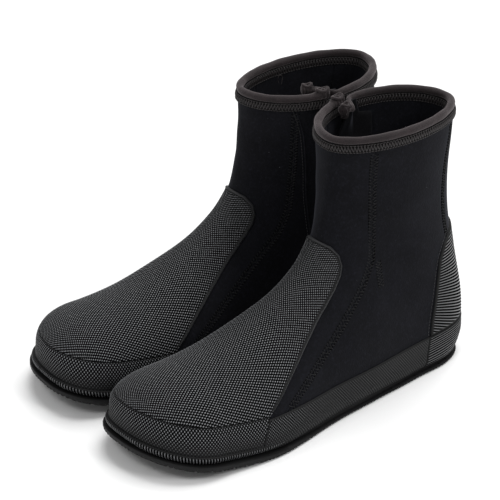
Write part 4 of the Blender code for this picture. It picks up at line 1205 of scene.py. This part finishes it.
def needle_hole(centre, normal, along, radius):
    """A shallow seven-sided dome where thread enters the cloth, which the seams give a near-black colour as painted
    shade in the needle hole.
    """
    turns = 2 * math.pi * np.arange(7) / 7
    ring = np.outer(np.cos(turns) * 1.15, along) + np.outer(np.sin(turns), np.cross(normal, along))
    ring = centre + radius * ring
    return tube(np.stack([ring - normal * 0.25, ring * 0.25 + centre * 0.75 + normal * 0.14]))


def on_side(line, side, rise=0.0):
    """Surface points and outward normals under a side-view line of (f, z), on one side (1 is lateral)."""
    points, normals = cast(np.column_stack([np.full(len(line), side * 120.0), line]), (-side, 0, 0))
    return points + normals * (waviness(points) + rise)[:, None], normals


def resample(points, normals, pitch):
    """Points one pitch apart along a line, with their normals and directions."""
    run = running_length(points)
    wanted = np.arange(pitch / 2, run[-1], pitch)
    p = interpolate(wanted, run, points)
    return p, unit(interpolate(wanted, run, normals)), unit(np.gradient(p, axis=0))


def smooth_line(line, step=2.0):
    """A dense version of a side-view polyline with its corners cut."""
    p = np.array(line, float)
    for _ in range(3):
        cut = [q for a, b in zip(p, p[1:]) for q in (a * 0.75 + b * 0.25, a * 0.25 + b * 0.75)]
        p = np.array([p[0], *cut, p[-1]])
    run = running_length(p)
    return interpolate(np.linspace(0, run[-1], max(int(run[-1] / step), 2)), run, p)


def flatlock(points, normals, half_width=2.6, pitch=2.35, radius=0.30):
    """A flatlock seam: two rows of needle holes and slanted stitches, with cover threads crossing between."""
    threads, holes = [], []
    p, n, along = resample(points, normals, pitch)
    across = np.cross(n, along)
    for k in range(len(p)):
        for side in (-1, 1):
            edge = p[k] + across[k] * side * half_width
            holes.append(needle_hole(edge, n[k], along[k], 0.82))
            way = along[k] * 0.55 - across[k] * side * 0.83
            threads.append(stitch(edge + along[k] * 0.35 * pitch + way * 0.5, way, n[k], 1.7, radius))
        way = across[k] * 0.86 + along[k] * 0.51 * (1 if k % 2 else -1)
        threads.append(stitch(p[k] - n[k] * 0.05, way, n[k], half_width * 1.7, radius * 0.8))
    return threads, holes


def running(points, normals, pitch, radius, rise=0.05):
    """A single row of lockstitches."""
    p, n, along = resample(points, normals, pitch)
    return [stitch(p[k] + n[k] * rise, along[k], n[k], pitch * 0.72, radius) for k in range(len(p))]


def overlock(points, normals, half_width, pitch=2.3, radius=0.42):
    """Slanted loops side by side over a band, each with a thinner return thread."""
    p, n, along = resample(points, normals, pitch)
    parts = []
    for k in range(len(p) - 1):
        a, b = p[k] + UP * half_width, p[k] + along[k] * pitch * 0.75 - UP * half_width
        c = p[k + 1] + UP * half_width * 0.8
        for start, end, thickness in ((a, b, radius), (b, c, radius * 0.7)):
            way, length = unit(end - start), np.linalg.norm(end - start)
            parts.append(stitch((start + end) / 2 + n[k] * 0.12, way, n[k], length * 0.97, thickness))
    return parts


def put_stitches(name, parts, material=THREAD, slot="neoprene"):
    place_parts(name, [(lifted(points), faces) for points, faces in parts], material, slot, sharp=0)


def put_flatlock(name, threads, holes):
    put_stitches(name + "_stitches", threads, SEAM_THREAD)
    put_stitches(name + "_holes", holes, HOLE_SHADE)


def seams():
    """The panels' flatlock seams, a tack at the ankle, and the stitches round the heel guard."""
    front = smooth_line([(f, min(z, 193)) for f, z in FRONT_SEAM[:-2] if z <= 195], 1.6)
    front = front[front[:, 1] > 31]
    tack = smooth_line(((85.7, 106), (85.2, 96), (84.6, 86)), 1.5)
    put_flatlock("ankle_tack", *flatlock(*on_side(tack, 1), half_width=2.2, pitch=2.2, radius=0.34))
    edge = smooth_line(COUNTER_EDGE[:-1], 1.5)
    edge -= 2.0 * unit(np.stack([-np.gradient(edge[:, 1]), np.gradient(edge[:, 0])], 1))
    back_z = np.arange(36, 192, 2.0)
    threads, holes = [], []
    for side, name in ((1, "lateral"), (-1, "medial")):
        put_flatlock(f"front_seam_{name}", *flatlock(*on_side(front, side)))
        origins = np.column_stack([np.full(len(back_z), side * ACHILLES_HALF), np.full(len(back_z), -60.0), back_z])
        points, normals = cast(origins, (0, 1, 0))
        points = points + normals * waviness(points)[:, None]
        free = region_distance(COUNTER_OUTLINE, points[:, 1], points[:, 2]) < -2
        more = flatlock(points[free][::-1], normals[free][::-1], half_width=2.2)
        threads, holes = threads + more[0], holes + more[1]
        points, normals = on_side(edge, side)
        edge_holes = [needle_hole(*place_and_ways, 0.62) for place_and_ways in zip(*resample(points, normals, 2.7))]
        put_stitches(f"counter_edge_holes_{name}", edge_holes, HOLE_SHADE)
        put_stitches(f"counter_edge_stitches_{name}", running(points, normals, 2.7, 0.26, 0.02))
    put_flatlock("back_seam", threads, holes)


def zip_ridge():
    """A narrow piped seam on the zip side, between the front seam and the zip."""
    line = smooth_line(RIDGE, 1.2)
    line = line[(line[:, 1] < 192) & (line[:, 1] > 31)]
    points, _ = on_side(line, -1, 0.15)
    place_parts("zip_ridge", [sweep(points, 0.62, 10)], JERSEY, "neoprene", sharp=0)
    put_stitches("zip_ridge_stitches", running(*on_side(line + (2.2, 0), -1), 2.6, 0.24, 0.03))


def cuff_stitches():
    """Overlock loops over the binding's legs, outside and inside, between two rows of lockstitches."""
    here, normal, _ = rim(500)
    for name, side, face in CUFF_FACES:
        middle, edge, top = [here + normal * (face + side * out) - UP * down
                             for out, down in ((0.50, 5.5), (0.78, 7.9), (0.20, 3.1))]
        out = normal * side
        parts = overlock(middle, out, 2.1) + running(edge, out, 2.2, 0.30) + running(top, out, 2.4, 0.30)
        put_stitches(f"cuff_stitches_{name}", parts, BINDING_THREAD, "binding_knit")


# ---------------------------------------------------------------- zip

def zip_solid(outline, low, high, bevel):
    """A plate with softened edges in the zip's frame. outline is (u, v)."""
    full = np.array(outline, float)
    out = full - full.mean(0)
    small = full.mean(0) + out * (1 - bevel / np.abs(out).max())
    levels = ((small, low), (full, low + bevel), (full, high - bevel), (small, high))
    return tube(np.stack([zip_point(ring[:, 0], ring[:, 1], w) for ring, w in levels]))


def mirrored(half):
    """A closed outline from its half on the +u side."""
    return list(half) + [(-u, v) for u, v in reversed(half)]


def zip_tape(side, name):
    """A woven tape from the cord out under the panel's edge, with a row of stitches."""
    v = np.linspace(1.0, ZIP_LENGTH + 1.0, 160)
    wobble = 0.10 * np.sin(v / 3.1)
    top = ((2.9, 0.15), (3.6, 0.42), (4.6, 0.5), (5.6, 0.5), (6.2, 0.3))
    section = top + tuple((u, -w) for u, w in reversed(top))
    rings = np.stack([zip_point(side * u, v, w + wobble * (u > 4)) for u, w in section], 1)
    place_parts(name, [tube(rings)], TAPE, "zip_tape", cad=True)
    points = zip_point(side * 5.1, np.linspace(2, ZIP_LENGTH, 90), 0.5)
    row = running(points, np.broadcast_to(ZIP_OUT, points.shape), 2.6, 0.25)
    put_stitches(name + "_stitches", row, THREAD, "zip_tape")


def zip_chain(side, name):
    """Moulded teeth that mesh with the other row's, on a corded edge."""
    cord = np.arange(TEETH_FIRST - 1, TEETH_LAST + 1, 1.5)
    parts = [sweep(zip_point(side * 2.35, cord, 0.0), 0.75, 10)]
    head = ((2.9, 0.35), (1.0, 0.35), (0.5, 0.05), (-0.15, 0.05), (-0.42, 0.45), (-0.42, 0.85), (-0.15, 1.25),
            (0.5, 1.25), (1.0, 0.95), (2.9, 0.95))
    clamp = ((3.05, 0.1), (1.25, 0.1), (1.25, 1.2), (3.05, 1.2))
    start = TEETH_FIRST + (0.0 if side > 0 else TEETH_PITCH / 2)
    for v in np.arange(start, TEETH_LAST - TEETH_PITCH, TEETH_PITCH):
        for outline, half, bevel in ((head, 0.95, 0.16), (clamp, 1.15, 0.25)):
            parts.append(zip_solid([(side * u, v + down) for u, down in outline], -half, half, bevel))
    place_parts(name, parts, ZIP, "zip_plastic", cad=True, sharp=35)


def zip_stops():
    """Blocks that end the chain: one above each row of teeth, and one across the bottom."""
    top = ((0.6, 4.3), (0.9, 4.0), (2.7, 4.0), (3.0, 4.3), (3.0, 6.7), (2.7, 7.0), (0.9, 7.0), (0.6, 6.7))
    bottom = mirrored(((2.6, 120.9), (3.0, 121.3), (3.0, 123.2), (2.4, 123.7)))
    for name, outline, half, bevel in (("zip_top_stop_front", top, 1.4, 0.4),
                                       ("zip_top_stop_rear", [(-u, v) for u, v in top], 1.4, 0.4),
                                       ("zip_bottom_stop", bottom, 1.5, 0.45)):
        place_parts(name, [zip_solid(outline, -half, half, bevel)], ZIP, "zip_plastic", cad=True, sharp=35)


def zip_slider():
    """Two plates joined by a neck, with a crown, two ears and the pull's pin."""
    top, low = SLIDER_TOP, SLIDER_TOP + SLIDER_LENGTH
    middle = (top + low) / 2
    wide, narrow = 5.2, 3.75
    outline = mirrored([(narrow * 0.5, low), (narrow * 0.9, low - 0.8), (narrow, low - 2.5), (narrow * 1.05, low - 6.0),
                        (wide * 0.95, top + 5.0), (wide, top + 3.4), (wide * 0.93, top + 1.9), (wide * 0.7, top + 0.7),
                        (wide * 0.3, top)])
    small = [(u * 0.93, v) for u, v in outline]
    crown = [(u * 0.62, middle + (v - middle) * 0.66) for u, v in outline]
    neck = mirrored([(0.3, 8.4), (0.3, 13.4)])
    parts = [zip_solid(outline, 1.3, 2.4, 0.35), zip_solid(small, -2.4, -1.3, 0.35),
             zip_solid(crown, 2.1, 2.9, 0.35), zip_solid(neck, -1.7, 1.7, 0.05)]
    turn = math.pi * np.arange(13) / 12
    v = np.append(PIN_V + 1.8 * np.cos(turn), (PIN_V - 2.4, PIN_V + 2.4))
    w = np.append(PIN_W + 1.35 * np.sin(turn), (2.3, 2.3))
    for side in (-1, 1):
        faces = [zip_point(side * 3.6 + half, v, w) for half in (-0.6, 0.6)]
        ends = [ring * 0.94 + ring.mean(0) * 0.06 + ZIP_ACROSS * push for ring, push in zip(faces, (-0.15, 0.15))]
        parts.append(tube(np.stack([ends[0], *faces, ends[1]])))
    pin = zip_point(np.linspace(-4.3, 4.3, 8), PIN_V, PIN_W)
    parts.append(sweep(pin, 0.78 * np.array((0.6, 1, 1, 1, 1, 1, 1, 0.6)), 14))
    place_parts("zip_slider", parts, ZIP, "zip_plastic", cad=True, body="slider", sharp=35)


def zip_pull():
    """A short moulded tab: an eye round the pin, a raised rim and a cord hole."""
    turn = math.pi / 2 + 2 * math.pi * np.arange(17) / 16 * 0.86 + 0.22
    v, w = PIN_V - 1.45 * np.sin(turn), PIN_W + 1.45 * np.cos(turn)
    parts = [sweep(zip_point(u, v, w), 0.55) for u in (-1.15, 1.15)]
    end, half = PIN_V + PULL_LENGTH, 3.7
    outline = np.array(mirrored([(1.9, PIN_V + 1.6), (2.2, PIN_V + 3.0), (half, PIN_V + 5.0), (half, end - 2.0),
                                 (half * 0.8, end - 0.6), (half * 0.4, end)]))
    middle = np.array((0.0, end - 4.0))
    from_middle = outline[0] - middle
    turns = np.linspace(0, 2 * math.pi, len(outline), endpoint=False) + math.atan2(from_middle[1], from_middle[0])
    hole = np.stack([1.6 * np.cos(turns), 1.9 * np.sin(turns)], 1) + middle
    rings = []
    for reach, rise in ((0.0, -0.55), (0.1, -0.9), (0.85, -0.9), (1.0, -0.5), (1.0, 0.5), (0.85, 0.9), (0.7, 0.62),
                        (0.3, 0.62), (0.12, 0.9), (0.0, 0.55)):
        ring = hole * (1 - reach) + outline * reach
        rings.append(zip_point(ring[:, 0], ring[:, 1], PIN_W + rise))
    parts.append(tube(np.stack(rings), closed=True))
    place_parts("zip_pull", parts, ZIP, "zip_plastic", cad=True, body="pull", sharp=40)


# ---------------------------------------------------------------- build everything

panels()
gusset()
overlay()
bands()
counter()
foxing()
outsole()
slab("lasting_board", BOARD, "board", -6.0, 6.3, 8.8, 0.0)
slab("footbed", FOAM, "insole_foam", -6.3, 9.1, 12.6, 1.6)
binding()
binding_legs()
binding_ends()
loose_loop()
seams()
zip_ridge()
cuff_stitches()
for _side, _where in ((1, "front"), (-1, "rear")):
    zip_tape(_side, f"zip_tape_{_where}")
    zip_chain(_side, f"zip_chain_{_where}")
zip_stops()
zip_slider()
zip_pull()


# ---------------------------------------------------------------- floor, light and camera

CAMERA_AZIMUTH, CAMERA_ELEVATION, CAMERA_DISTANCE = 52.98, 27.624, 1.51257
CAMERA_AIM = (0.005152738, -0.003931902, 0.095)
# The camera's focal length and shift, as shares of the image's width.
FOCAL_SHARE, SHIFT_X, SHIFT_Y = 4.1621, -0.00685, 0.014552
SENSOR = 36.0


def floor():
    """A plain pale floor, just under the soles."""
    n = Nodes("pale_floor")
    n.colour(n.mix(n.noise(3.0, 2), (0.86, 0.86, 0.86), (0.90, 0.90, 0.90)))
    n.roughness(n.noise(8.0, 2), 0.75, 0.85)
    size = 6.0
    mesh = bpy.data.meshes.new("floor")
    mesh.from_pydata([(-size, -size, 0), (size, -size, 0), (size, size, 0), (-size, size, 0)], [], [(0, 1, 2, 3)])
    mesh.materials.append(n.material)
    obj = bpy.data.objects.new("floor", mesh)
    obj.location.z = -0.0004
    bpy.context.scene.collection.objects.link(obj)


def looking(name, data, azimuth, elevation, distance=0.0, aim=(0, 0, 0)):
    """A light or camera at a distance from its aim. Azimuth 0 is on the -Y side and 90 on the +X side."""
    a, e = math.radians(azimuth), math.radians(elevation)
    back = Vector((math.sin(a) * math.cos(e), -math.cos(a) * math.cos(e), math.sin(e)))
    obj = bpy.data.objects.new(name, data)
    obj.location = Vector(aim) + back * distance
    obj.rotation_mode = "QUATERNION"
    obj.rotation_quaternion = (-back).to_track_quat("-Z", "Y")
    bpy.context.scene.collection.objects.link(obj)
    return obj


def lights():
    """A wide overhead sun, two soft discs, and a white surround that the camera sees brighter than the boots do."""
    world = bpy.data.worlds.new("studio")
    world.use_nodes = True
    tree = world.node_tree
    background = tree.nodes["Background"]
    background.inputs["Color"].default_value = (1.0, 1.0, 1.0, 1)
    seen = tree.nodes.new("ShaderNodeLightPath")
    strength = tree.nodes.new("ShaderNodeMapRange")
    strength.inputs["To Min"].default_value = 0.42
    strength.inputs["To Max"].default_value = 1.0
    tree.links.new(seen.outputs["Is Camera Ray"], strength.inputs["Value"])
    tree.links.new(strength.outputs["Result"], background.inputs["Strength"])
    bpy.context.scene.world = world
    sun = bpy.data.lights.new("overhead", "SUN")
    sun.energy, sun.angle = 2.6, math.radians(48)
    looking("overhead", sun, 200, 66)
    for name, azimuth, elevation, distance, size, power in (("front", 20, 50, 2.0, 0.6, 8),
                                                            ("side", 108, 38, 2.2, 0.7, 13)):
        disc = bpy.data.lights.new(name, "AREA")
        disc.shape, disc.size, disc.energy = "DISK", size, power
        looking(name, disc, azimuth, elevation, distance, (0, 0, 0.08))


def camera():
    """The camera, at the photograph's viewing angle."""
    data = bpy.data.cameras.new("camera")
    data.sensor_width, data.lens = SENSOR, FOCAL_SHARE * SENSOR
    data.shift_x, data.shift_y = SHIFT_X, SHIFT_Y
    bpy.context.scene.camera = looking("camera", data, CAMERA_AZIMUTH, CAMERA_ELEVATION, CAMERA_DISTANCE, CAMERA_AIM)


floor()
lights()
camera()
bpy.context.scene.view_settings.view_transform = "Standard"
